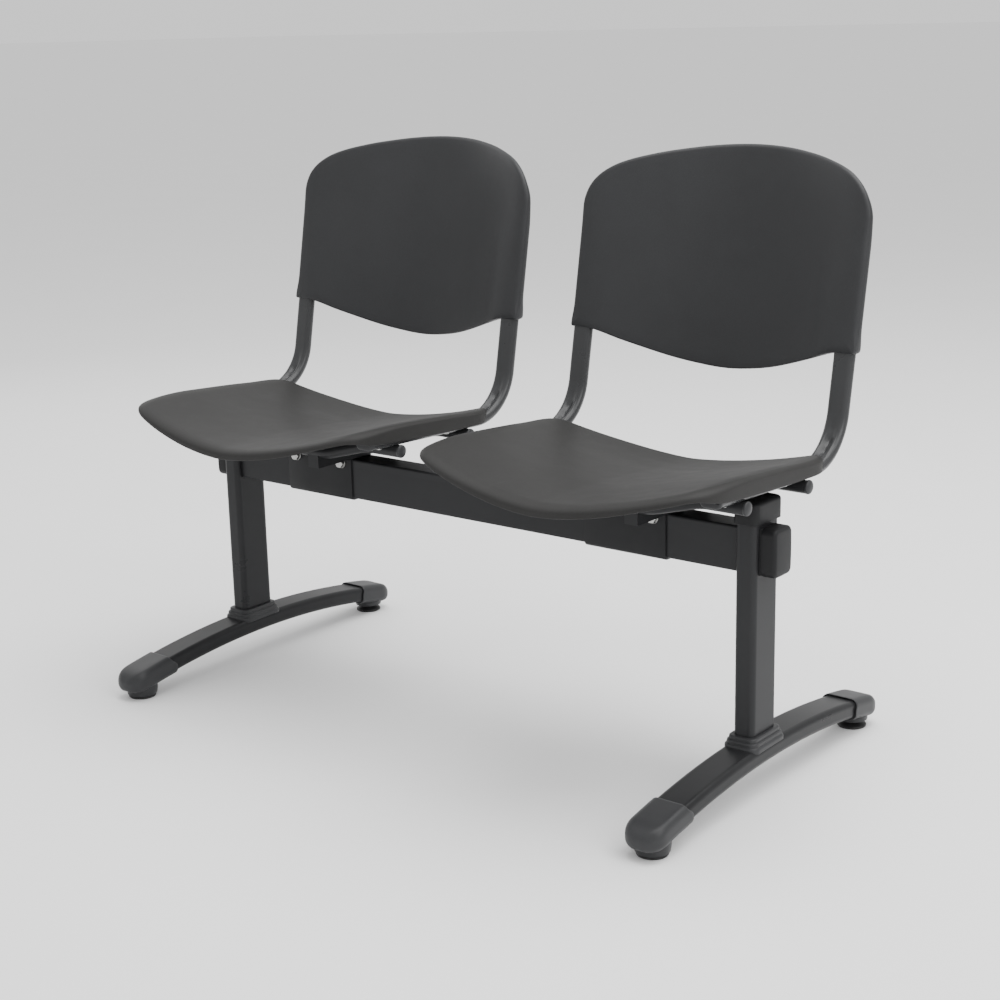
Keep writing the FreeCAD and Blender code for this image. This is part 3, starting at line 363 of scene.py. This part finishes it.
def frame3(origin, ez, ex_hint=(1, 0, 0)):
    ez = np.array(ez, float)
    ez /= np.linalg.norm(ez)
    exv = np.array(ex_hint, float)
    exv -= ez * exv.dot(ez)
    exv /= np.linalg.norm(exv)
    ey = np.cross(ez, exv)
    o = np.array(origin, float)

    def to3(p):
        p = np.asarray(p, float)
        return o + p[:, :1] * exv + p[:, 1:2] * ey + p[:, 2:3] * ez
    return to3


def pchip(tab):
    xs = np.array([t[0] for t in tab], float)
    ys = np.array([t[1] for t in tab], float)
    h = np.diff(xs)
    d = np.diff(ys) / h
    m = np.zeros_like(xs)
    m[0], m[-1] = d[0], d[-1]
    for i in range(1, len(xs) - 1):
        if d[i - 1] * d[i] > 0:
            w1, w2 = 2 * h[i] + h[i - 1], h[i] + 2 * h[i - 1]
            m[i] = (w1 + w2) / (w1 / d[i - 1] + w2 / d[i])

    def f(x):
        x = np.asarray(x, float)
        i = np.clip(np.searchsorted(xs, x) - 1, 0, len(xs) - 2)
        t = np.clip((x - xs[i]) / h[i], -0.5, 1.5)
        h00, h10, h01, h11 = 2 * t**3 - 3 * t**2 + 1, t**3 - 2 * t**2 + t, -2 * t**3 + 3 * t**2, t**3 - t**2
        return h00 * ys[i] + h10 * h[i] * m[i] + h01 * ys[i + 1] + h11 * h[i] * m[i + 1]
    return f


def smooth(t):
    t = np.clip(t, 0, 1)
    return t * t * (3 - 2 * t)


def closed_outline(half, n, rounds=3):
    # half runs from x=0 to x=0 on the right side; mirrored, smoothed and evenly resampled
    right = [np.array(p, float) for p in half]
    pts = right + [np.array([-p[0], p[1]]) for p in reversed(right[1:-1])]
    pts = np.array(pts)
    for _ in range(rounds):
        nxt = np.roll(pts, -1, 0)
        pts = np.stack([pts * 0.75 + nxt * 0.25, pts * 0.25 + nxt * 0.75], 1).reshape(-1, 2)
    seg = np.linalg.norm(np.roll(pts, -1, 0) - pts, axis=1)
    s = np.concatenate([[0], np.cumsum(seg)])
    q = np.vstack([pts, pts[:1]])
    t = np.linspace(0, s[-1], n, endpoint=False)
    out = np.column_stack([np.interp(t, s, q[:, 0]), np.interp(t, s, q[:, 1])])
    area = 0.5 * np.sum(out[:, 0] * np.roll(out[:, 1], -1) - np.roll(out[:, 0], -1) * out[:, 1])
    return out if area > 0 else out[::-1]


# ---------------------------------------------------------------- seat shells
SEAT_MID = pchip([(-250, 411.3), (-240, 411.7), (-225, 412.2), (-205, 412.5), (-180, 412.6), (-150, 412.5), (-110, 411.8), (-60, 409.0), (0, 405.0),
                  (50, 401.0), (90, 399.4), (128, 399.0)])
SEAT_LIP = pchip([(-246, 426.0), (-200, 429.0), (-170, 429.0), (-110, 425.6), (-46, 421.8), (39, 418.1), (80, 417.4), (128, 417.4)])
SEAT_PLAN = [(0, -240), (40, -239.3), (80, -236.6), (120, -232), (150, -227.5), (175, -221.5), (193, -215.5), (209, -206), (220.5, -191.5), (226, -173), (228.4, -150),
             (229, -120), (229, -60), (229, 0), (229, 60), (227.5, 76), (222, 90), (212, 100), (198, 105.5), (180, 108.5), (150, 113), (110, 119.5), (70, 123.5), (30, 125.6), (0, 126)]
FRONT_DROP = pchip([(0, 15.2), (40, 15.1), (70, 14.8), (100, 14.2), (140, 12.8), (180, 11.8), (200, 11.9), (215, 12.6), (229, 14.0)])


def seat_top(x, y):
    u = np.clip(np.abs(x) / 222.0, 0, 1.06)
    return SEAT_MID(y) + 40.0 * u ** 1.6 - 3.0 * np.clip((np.abs(x) - 200.0) / 22.0, 0, 2) ** 2


def seat_mesh():
    n = 360
    out = closed_outline(SEAT_PLAN, n, 2)
    nrm = inward(out)
    rings = []
    x, y = out[:, 0], out[:, 1]
    # height of the turned-down rim all round
    side = np.clip(seat_top(x, y) - SEAT_LIP(y), 4.6, 40)
    front = FRONT_DROP(np.abs(x))
    rear = 4.8 + 14 * smooth((np.abs(x) - 196) / 30)
    w_front = smooth((-y - 150) / 55)
    w_rear = smooth((y - 70) / 34)
    drop = side * (1 - w_front) * (1 - w_rear) + front * w_front + rear * w_rear
    # broad roll at the front, tighter along the sides and the rear
    f = smooth((-y - 110) / 90)
    rx = 9.0 + 13.0 * f - 2.0 * w_rear
    rz = np.minimum(5.0 + 4.0 * f, drop * (0.62 + 0.2 * f))
    edge_top = seat_top(x, y)
    low = edge_top - drop
    thick = 4.4
    inner = out + nrm * rx[:, None]
    c = inner.mean(0)
    # top skin, centre to the roll
    for s in np.linspace(0.01, 1, 46):
        p = c + (inner - c) * s
        rings.append(np.column_stack([p, seat_top(p[:, 0], p[:, 1])]))
    for i in range(1, 15):
        a = math.radians(90 - 90 * i / 14)
        d = rx * (1 - math.cos(a))
        p = out + nrm * d[:, None]
        rings.append(np.column_stack([p, seat_top(p[:, 0], p[:, 1]) - rz * (1 - math.sin(a))]))
    for t in (0.25, 0.5, 0.75):
        rings.append(np.column_stack([out, (edge_top - rz) * (1 - t) + (low + 1.2) * t]))
    for i in range(5):
        a = math.radians(22.5 * i)
        p = out + nrm * (1.7 * (1 - math.cos(a)))
        rings.append(np.column_stack([p, low + 1.2 * (1 - math.sin(a))]))
    p = out + nrm * 3.2
    rings.append(np.column_stack([p, low + 0.3]))

    # underside follows the top skin and the roll at wall thickness
    def under(q, d):
        t = np.clip(1 - d / np.maximum(rx, 0.1), 0, 1)
        roll = rz * (1 - np.sqrt(np.clip(1 - t * t, 0, 1)))
        return seat_top(q[:, 0], q[:, 1]) - thick - roll
    for d in (4.2, 5.5, 8.0, 11.0, 15.0, 22.0):
        p = out + nrm * d
        rings.append(np.column_stack([p, np.maximum(under(p, d), low + 0.25)]))
    core = out + nrm * 24.0
    for s in np.linspace(1, 0.01, 30):
        p = c + (core - c) * s
        rings.append(np.column_stack([p, np.maximum(seat_top(p[:, 0], p[:, 1]) - thick, -1e3)]))
    return rings


ARM_OUT = 210.0
ARM_W, ARM_T = 30.0, 15.0


def arm_line():
    fall, lean = math.radians(2.0), math.radians(10.8)
    y0, z0, R = -161.5, 428.7, 77.5
    a = (math.cos(fall), -math.sin(fall))
    b = (math.sin(lean), math.cos(lean))
    dy, dz = 164.0 - y0, 558.0 - z0
    det = a[0] * (-b[1]) - a[1] * (-b[0])
    s = (dy * (-b[1]) - dz * (-b[0])) / det
    corner = (y0 + a[0] * s, z0 + a[1] * s)
    turn = math.acos(a[0] * b[0] + a[1] * b[1])
    t = R * math.tan(turn / 2)
    p1 = np.array((corner[0] - a[0] * t, corner[1] - a[1] * t))
    p2 = np.array((corner[0] + b[0] * t, corner[1] + b[1] * t))
    c = np.array((p1[0] - a[1] * R, p1[1] + a[0] * R))
    return np.array((y0, z0)), p1, p2, c, R, turn, a, b


def arm_under(y):
    return 428.7 - math.tan(math.radians(2.0)) * (y + 161.5) - 7.5


def arm_rings(x0):
    # flat oval swept along the bent centre line, with the press mark on the inside of the bend
    p0, p1, p2, c, R, turn, a, b = arm_line()
    sec = rr(ARM_W, ARM_T, 7.3, k=10, side=14)
    rings = []

    def put(centre, tangent, w=0.0):
        nn = np.array((-tangent[1], tangent[0]))      # towards the inside of the bend
        ring = []
        for sx, sn in sec:
            dn = 0.0
            if w and sn > 0:
                # shallow trough between two ridges on the pressed face
                g = math.exp(-(sx / 4.6) ** 2) * 3.6 - math.exp(-((abs(sx) - 9.0) / 2.8) ** 2) * 0.7
                dn = -w * g * (sn / (ARM_T / 2)) ** 2
            q = centre + nn * (sn + dn)
            ring.append((x0 + sx * (1 + 0.0 * w), q[0], q[1]))
        rings.append(np.array(ring))
    for t in np.linspace(0, 1, 14)[:-1]:
        put(p0 + (p1 - p0) * t, a)
    steps = 64
    for i in range(steps + 1):
        t = i / steps
        ang = turn * t
        # from p1 turning towards b
        v = p1 - c
        ca, sa = math.cos(ang), math.sin(ang)
        q = c + np.array((v[0] * ca - v[1] * sa, v[0] * sa + v[1] * ca))
        tan = np.array((a[0] * ca - a[1] * sa, a[0] * sa + a[1] * ca))
        ripple = 1.0 + 0.16 * math.sin(t * 34.0) * math.sin(math.pi * t)
        put(q, tan, ripple * math.sin(math.pi * np.clip((t - 0.04) / 0.90, 0, 1)) ** 1.2)
    end = p2 + np.array(b) * ((568 - p2[1]) / b[1])
    for t in np.linspace(0, 1, 12)[1:]:
        put(p2 + (end - p2) * t, b)
    return rings


# ---------------------------------------------------------------- backrest shells
BACK_LOW = [(0, 510.5), (20, 511.4), (40, 513.8), (60, 516.9), (80, 521.1), (100, 526.5), (120, 532.7), (140, 539.2), (160, 546.0), (178, 552.2),
            (188, 555.4), (194, 557.0), (200, 557.9), (207, 558.0), (215, 558.0), (222, 558.0), (226.4, 558.2), (228.1, 559.4), (228.5, 562),
            (228.5, 568), (228.5, 580), (228.5, 620), (228.5, 680)]
BACK_HIGH = [(228.5, 728), (227.5, 737), (225, 746), (220.5, 756), (214, 766), (204, 776), (189, 785.8), (174, 791.9), (159, 796.4), (144, 799.9),
             (129, 803.1), (114, 805.7), (99, 807.8), (84, 809.8), (69, 811.5), (54, 812.8), (36, 814), (18, 814.7), (0, 815)]


def back_face(x, z):
    s = (z - 511.0) / 301.0
    half = 200.0 + 25.0 * s
    deep = 60.5 + 12.0 * s
    u = np.clip(np.abs(x) / half, 0, 1)
    strip = 1 - 0.3 * smooth((np.abs(x) - 150.0) / 50.0) * (1 - smooth((z - 580.0) / 150.0))
    return 154.9 + 0.187 * (z - 560.0) + deep * strip * (1 - u * u) ** 1.5


def back_thick(x, z):
    side = 20.0 - 8.0 * smooth((z - 690.0) / 70.0)
    top = 3.5 * smooth((z - 740.0) / 60.0)
    mid = 7.0 + top
    return mid + (side - mid) * smooth((np.abs(x) - 150.0) / 38.0)


def back_mesh():
    n = 560
    out = closed_outline(BACK_LOW + BACK_HIGH, n, 2)
    nrm = inward(out)
    # softened inward directions keep the offset rings in order at the lower corners
    k = np.exp(-0.5 * (np.arange(-9, 10) / 3.6) ** 2)
    k /= k.sum()
    soft = sum(w * np.roll(nrm, j, 0) for w, j in zip(k, range(-9, 10)))
    soft /= np.linalg.norm(soft, axis=1)[:, None]
    rings = []
    inner = out + soft * 13
    wide = np.exp(-0.5 * (np.arange(-26, 27) / 9.0) ** 2)
    wide /= wide.sum()
    turn = np.clip(np.linalg.norm(np.roll(nrm, -8, 0) - np.roll(nrm, 8, 0), axis=1), 0, 0.5)[:, None] * 2
    turn = sum(w * np.roll(turn, j, 0) for w, j in zip(wide, range(-26, 27)))
    eased = sum(w * np.roll(inner, j, 0) for w, j in zip(wide, range(-26, 27)))
    inner = inner + (eased - inner) * np.clip(turn * 1.6, 0, 1)
    c = inner.mean(0)

    def surf(p, side):
        x, z = p[:, 0], p[:, 1]
        return back_face(x, z) + side * back_thick(x, z)
    for s in np.linspace(0.01, 1, 42):
        p = c + (inner - c) * s
        rings.append(np.column_stack([p[:, 0], surf(p, 0), p[:, 1]]))
    th = back_thick(out[:, 0], out[:, 1])
    r = np.minimum(th / 2, 9.0) * (0.34 + 0.66 * smooth((out[:, 1] - 566.0) / 30.0) * (np.abs(out[:, 0]) > 0)
                                   + 0.66 * (1 - smooth((np.abs(out[:, 0]) - 150.0) / 40.0)) * (1 - smooth((out[:, 1] - 566.0) / 30.0)))
    steps = 22
    for i in range(1, steps + 1):
        a = math.radians(90 - 180 * i / (steps + 1))
        p = out + soft * (r * (1 - math.cos(a)))[:, None]
        mid = back_face(p[:, 0], p[:, 1]) + back_thick(p[:, 0], p[:, 1]) / 2
        t = back_thick(p[:, 0], p[:, 1]) / 2
        rings.append(np.column_stack([p[:, 0], mid - t * math.sin(a), p[:, 1]]))
    for s in np.linspace(1, 0.01, 36):
        p = c + (inner - c) * s
        rings.append(np.column_stack([p[:, 0], surf(p, 1), p[:, 1]]))
    return rings


# ---------------------------------------------------------------- the two seats
for tag, sgn in (("left", -1), ("right", 1)):
    cx = sgn * PITCH
    move = np.array([cx, 0, 0])
    b = Build()
    b.rings([r + move for r in seat_mesh()])
    for k in (-1, 1):
        for y in (-135.0, 10.0):
            x = cx + k * ARM_OUT
            base = arm_under(y) + ARM_T + 0.3
            top = float(seat_top(np.array([ARM_OUT]), np.array([y]))[0]) - 3.0
            lathe(b, [(3.0, base), (6.6, base), (7.0, base + 0.4), (7.2, top), (3.0, top)], 32, frame3((x, y, 0), (0, 0, 1)))
    make("seat_moulding_" + tag, b.v, b.f, "seat_plastic", sharp=60, replace=("seat_shell_" + tag,))

    b = Build()
    b.rings([r + move for r in back_mesh()])
    make("back_moulding_" + tag, b.v, b.f, "back_plastic", sharp=60, replace=("back_shell_" + tag,))

    for k, where in ((-1, "left"), (1, "right")):
        b = Build()
        b.rings(arm_rings(cx + k * ARM_OUT))
        # the arm tubes take the lighter copy of the frame paint, painted light
        make("%s_arm_tube_%s" % (tag, where), b.v, b.f, "arm_paint", sharp=50, replace=("%s_seat_arm_%s" % (tag, where),))

    # plugs of the arm tubes
    b = Build()
    for k in (-1, 1):
        fall = math.radians(2.0)
        to3 = frame3((cx + k * ARM_OUT, -161.5, 428.7), (0, -math.cos(fall), math.sin(fall)), (1, 0, 0))
        pill(b, rr(30.4, 15.4, 7.4, k=8, side=3), -2.0, 3.4, 0.3, 2.6, to3)
    make("%s_arm_end_plugs" % tag, b.v, b.f, "cap_plastic", replace=("%s_seat_arm_plugs" % tag,))

    # domed plugs of the cross tubes
    b = Build()
    for y, level in ((-108.5, 391.6 + 19.8), (42.5, 386.4 + 19.8)):
        for k in (-1, 1):
            to3 = frame3((cx + k * 226.0, y, level), (k, 0, 0), (0, 1, 0))
            prof = [(0.1, -3), (7.3, -3), (7.4, -0.1), (9.0, 0.0), (9.3, 0.3), (9.3, 2.0)]
            prof += [(9.3 * math.cos(t), 2.0 + 3.7 * math.sin(t)) for t in np.linspace(0.15, 1.55, 9)]
            lathe(b, prof, 40, to3)
    make("%s_cross_end_plugs" % tag, b.v, b.f, "cap_plastic", sharp=50, replace=("%s_seat_cross_plugs" % tag,))

    # sleeve round the beam with softened ends
    b = Build()
    rings = []
    L = 65.0
    for x, grow in ((-L, -0.9), (-L + 0.35, -0.25), (-L + 1.2, 0.0), (-L / 3, 0), (L / 3, 0), (L - 1.2, 0.0), (L - 0.35, -0.25), (L, -0.9)):
        s = rr(46 + 2 * grow, 66 + 2 * grow, 6, 6, 4)
        rings.append(np.column_stack([np.full(len(s), cx + x), MID_Y + s[:, 0], 334.5 + s[:, 1]]))
    for x in (L, -L):
        s = rr(40.2, 60.2, 3.2, 6, 4)
        rings.append(np.column_stack([np.full(len(s), cx + x), MID_Y + s[:, 0], 334.5 + s[:, 1]]))
    b.rings(rings, closed=True)
    make("sleeve_skin_" + tag, b.v, b.f, "frame_paint", sharp=40, replace=("beam_sleeve_" + tag,))


# ---------------------------------------------------------------- legs
ARCH_Z = -1326.0


def arch_top(extra=0.0):
    return lambda x, y: np.sqrt((1400.0 + extra) ** 2 - y ** 2) + ARCH_Z


def arch_bottom(extra=0.0):
    return lambda x, y: np.sqrt((1375.0 - extra) ** 2 - y ** 2) + ARCH_Z


def hexagon(af, n_side=4):
    r = af / math.sqrt(3)
    c = [(r * math.cos(math.radians(60 * i)), r * math.sin(math.radians(60 * i))) for i in range(6)]
    pts = []
    for i in range(6):
        p, q = np.array(c[i]), np.array(c[(i + 1) % 6])
        for t in np.linspace(0.04, 0.96, n_side):
            pts.append(p * (1 - t) + q * t)
    return np.array(pts)


def hex_head(b, to3, af, tall):
    # chamfered hexagon: corners fall away towards the top
    h = hexagon(af, 7)
    rad = np.linalg.norm(h, axis=1)
    def ring(scale, z, fall=0.0):
        return to3(np.column_stack([h * scale, z - fall * np.clip((rad - af / 2) / (af * 0.0774), 0, 1)]))
    b.rings([ring(0.05, 0), ring(0.96, 0), ring(1.0, 0.25), ring(1.0, tall - 0.5, 0.75), ring(0.94, tall, 0.55), ring(0.80, tall), ring(0.05, tall)])


for tag, sgn in (("left", -1), ("right", 1)):
    lx = sgn * LEG
    # cap over the column
    b = Build()
    o = rr(36, 68, 10, 8, 6) + np.array([lx, MID_Y + 1])
    pill(b, o, 371.0, lambda x, y: 400.0 - 0.5 * ((x - lx) / 18) ** 2 - 0.5 * ((y - MID_Y - 1) / 34) ** 2, 0.8, 4.6)
    # the column hood takes the darker copy of the cap plastic, painted shade
    make("column_hood_" + tag, b.v, b.f, "cap_plastic", sharp=50, replace=("column_cap_" + tag,), finish=HOOD_PAINTED_SHADE)

    # collar in three soft steps
    b = Build()
    under = lambda x, y: arch_top(-4.0)(x, y) - 0.0
    for w, d, r, top, soft in ((51.4, 81.9, 13, 77.6, 4.2), (46.4, 77.0, 11.5, 82.6, 2.6), (41.2, 71.6, 9.5, 88.0, 2.2)):
        o = rr(w, d, r, 8, 6) + np.array([lx, MID_Y])
        pill(b, o, under, top, 0.4, soft, steps=8)
    make("collar_steps_" + tag, b.v, b.f, "cap_plastic", sharp=50, replace=("column_collar_" + tag,))

    # moulded foot caps: sections along the tube, closing in a bulbous nose
    for k, where in ((-1, "front"), (1, "rear")):
        b = Build()
        tip, nose, half_w = 290.0, 30.0, 28.0
        top_f, low_f = arch_top(3.0), arch_bottom(3.0)

        def station(u, wf=1.0, hf=0.0, grow=0.0, mouth=0.0):
            # u runs outwards; hf closes the height, mouth > 0 shifts the points to the mouth's own line
            ua = np.array([u])
            zt, zb = float(top_f(0, ua)[0]) + grow, float(low_f(0, ua)[0]) - grow
            tall = zt - zb
            zt, zb = zt - hf * tall * 0.56, zb + hf * tall * 0.44
            w, h = 2 * (half_w + grow) * wf, zt - zb
            sec = rr(max(w, 0.02), max(h, 0.02), 0.49 * min(w, h) if hf > 0.6 else min(11.0, 0.49 * min(w, h)), k=8, side=5)
            zc = (zt + zb) / 2
            uu = np.full(len(sec), float(u))
            zz = zc + sec[:, 1]
            if mouth:
                base = 205.5 if k < 0 else 214.0
                lean = 11.0 if k < 0 else 4.0
                line = base + lean * smooth((sec[:, 1] / (tall / 2) + 0.1) / 1.0)
                uu = u + (line - u) * mouth
                zz = zz + (np.asarray(top_f(0, uu)) - float(top_f(0, ua)[0]))
            return np.column_stack([lx + sec[:, 0], k * uu, zz])
        rings = [station(232.0, grow=-2.8, mouth=1.0) + np.array([0, k * 1.2, 0]), station(232.0, grow=-1.0, mouth=1.0), station(232.0, grow=-0.3, mouth=1.0) - np.array([0, k * 0.25, 0]),
                 station(232.0, mouth=0.97)]
        rings += [station(232.0, mouth=m) for m in (0.8, 0.6, 0.4, 0.2, 0.05)]
        rings += [station(u) for u in (236, 242, 248, 254, tip - nose)]
        for t in np.linspace(0, math.pi / 2, 21)[1:]:
            q = math.sin(t) ** (2 / 2.5)
            wf = max(math.cos(t), 1e-4) ** (2 / 2.5)
            hf = 1 - max(math.cos(t), 1e-4) ** (2 / 2.7)
            rings.append(station(tip - nose + nose * q, wf, hf))
        if k < 0:
            rings = [r[::-1] for r in rings]
        b.rings(rings)
        if k < 0:
            # the front boss carries a thin skirt that hangs round the disc
            prof = [(5.3, 34), (5.3, 16.4), (5.8, 16), (20.6, 16), (20.9, 15.6), (20.9, 10.3), (21.2, 9.8), (21.8, 9.9), (22.3, 10.6), (23.0, 14.5), (23.6, 18.5), (24.0, 34)]
        else:
            prof = [(5.3, 34), (5.3, 16.4), (5.8, 16), (20.5, 16), (21.6, 16.5), (22, 17.5), (22, 34)]
        lathe(b, prof, 64, frame3((lx, k * 255.0, 0), (0, 0, 1)))
        make("foot_shoe_%s_%s" % (tag, where), b.v, b.f, "cap_plastic", sharp=42, replace=("foot_cap_%s_%s" % (tag, where),))

        body = "glide_%s_%s" % (tag, where)
        b = Build()
        lathe(b, [(0.1, 0.0), (19.0, 0.0), (19.9, 0.3), (20.4, 1.0), (20.5, 1.6), (20.5, 2.5), (20.1, 3.2), (19.2, 3.7), (17.0, 4.4), (14.4, 5.4),
                  (12.4, 6.4), (10.8, 7.3), (9.8, 7.85), (9.0, 8.0), (4.0, 8.0), (4.0, 3.2), (0.1, 3.2)], 72, frame3((lx, k * 255.0, 0), (0, 0, 1)))
        make("glide_disc_%s_%s" % (tag, where), b.v, b.f, "glide_plastic", body=body, sharp=45, replace=("glide_pad_%s_%s" % (tag, where),))
        b = Build()
        prof = [(0.1, 3.1), (3.6, 3.1)]
        z = 3.6
        while z < 37.9:
            prof += [(3.92, z), (3.5, z + 0.6)]
            z += 1.25
        prof += [(3.2, 38.7), (0.1, 38.7)]
        lathe(b, prof, 36, frame3((lx, k * 255.0, 0), (0, 0, 1)))
        hex_head(b, frame3((lx, k * 255.0, 8.01), (0, 0, 1)), 13.0, 2.66)
        make("glide_thread_%s_%s" % (tag, where), b.v, b.f, "zinc_steel", body=body, sharp=30, replace=("glide_stud_%s_%s" % (tag, where),))

    # moulded hood over the beam's end
    b = Build()
    o = rr(43.6, 63.6, 8.5, 8, 6)
    to3 = frame3((sgn * 484.0, MID_Y, 334.5), (sgn, 0, 0), (0, 1, 0))
    pill(b, o, 0.0, lambda x, y: 22.0 - 0.7 * (x / 21) ** 2 - 0.7 * (y / 31) ** 2, 0.9, 5.0, to3, rings=6, steps=9)
    # the beam-end hood takes the darker copy of the cap plastic, painted shade
    make("beam_end_hood_" + tag, b.v, b.f, "cap_plastic", sharp=50, replace=("beam_end_cap_" + tag,), finish=HOOD_PAINTED_SHADE)

# bolts with chamfered heads
b = Build()
for s in (-1, 1):
    for k in (-1, 1):
        x = s * PITCH + k * 46.0
        to3 = frame3((x, MID_Y - 23.0, 357.5), (0, -1, 0), (1, 0, 0))
        lathe(b, [(0.1, 0), (7.6, 0), (8.0, 0.3), (8.0, 1.1), (7.7, 1.4), (0.1, 1.4)], 40, to3)
        hex_head(b, frame3((x, MID_Y - 24.4, 357.5), (0, -1, 0), (1, 0, 0)), 13.0, 5.0)
        lathe(b, [(0.1, 1.0), (3.95, 1.0), (3.95, 60.0), (3.4, 61.0), (0.1, 61.0)], 24, frame3((x, MID_Y - 23.0, 357.5), (0, 1, 0), (1, 0, 0)))
make("clamp_bolts", b.v, b.f, "zinc_steel", sharp=30, replace=("sleeve_bolts",))
b = Build()
for s in (-1, 1):
    for k in (-1, 1):
        hex_head(b, frame3((s * PITCH + k * 46.0, MID_Y + 23.0, 357.5), (0, 1, 0), (1, 0, 0)), 13.0, 6.4)
make("clamp_nuts", b.v, b.f, "zinc_steel", sharp=30, replace=("sleeve_nuts",))
b = Build()
for s in (-1, 1):
    for k in (-1, 1):
        hex_head(b, frame3((s * LEG, MID_Y + 30.0, 334.5 + k * 15), (0, 1, 0), (1, 0, 0)), 13.0, 5.3)
        lathe(b, [(0.1, 0), (3.95, 0), (3.95, 22.0), (0.1, 22.9)], 24, frame3((s * LEG, MID_Y + 30.2, 334.5 + k * 15), (0, -1, 0), (1, 0, 0)))
make("column_bolt_heads", b.v, b.f, "zinc_steel", sharp=30, replace=("column_screws",))

# ---------------------------------------------------------------- materials on the carried-over nodes
slot_of = {s["node"]: s["material_slot"] for s in frame["record"]["subparts"]}
for name, ob in NODES.items():
    ob.data.materials.clear()
    ob.data.materials.append(SLOTS[slot_of[name]])

# ---------------------------------------------------------------- stage, camera, light
bpy.ops.mesh.primitive_plane_add(size=400, location=(0, 0, 0))
floor = bpy.context.object
floor.name = "floor"
floor.data.materials.append(floor_material())

cam_data = bpy.data.cameras.new("camera")
cam = bpy.data.objects.new("camera", cam_data)
bpy.context.scene.collection.objects.link(cam)
right = Vector((0.7835885409, 0.6208768183, -0.0223824720))
down = Vector((0.1409048585, -0.2126882529, -0.9669071972))
ahead = Vector((-0.6050907530, 0.7545036008, -0.2541446380))
m = Matrix.Identity(4)
for i in range(3):
    m[i][0], m[i][1], m[i][2] = right[i], -down[i], -ahead[i]
    m[i][3] = (1.5902250, -1.9368587, 0.9828022 - DROP * MM)[i]
cam.matrix_world = m
cam_data.sensor_width = 36.0
cam_data.lens = 36.0 * 1.8091415
cam_data.clip_end = 1000
bpy.context.scene.camera = cam

world = bpy.data.worlds.new("studio")
bpy.context.scene.world = world
world.use_nodes = True
bg = world.node_tree.nodes["Background"]
bg.inputs["Color"].default_value = (1, 1, 1, 1)
bg.inputs["Strength"].default_value = 1.0


def soft_light(name, at, to, size, power, size_y=None):
    d = bpy.data.lights.new(name, "AREA")
    d.energy = power
    d.size = size
    if size_y:
        d.shape = "RECTANGLE"
        d.size_y = size_y
    o = bpy.data.objects.new(name, d)
    bpy.context.scene.collection.objects.link(o)
    o.location = at
    o.rotation_euler = (Vector(to) - Vector(at)).to_track_quat("-Z", "Y").to_euler()
    return o


soft_light("key", (2.9, -0.4, 2.1), (0.1, 0, 0.4), 1.8, 34)
soft_light("top", (0.6, 0.5, 3.3), (0.1, 0, 0.4), 3.2, 150)
soft_light("left_rim", (-2.6, 0.8, 1.6), (0, 0, 0.5), 1.6, 9)
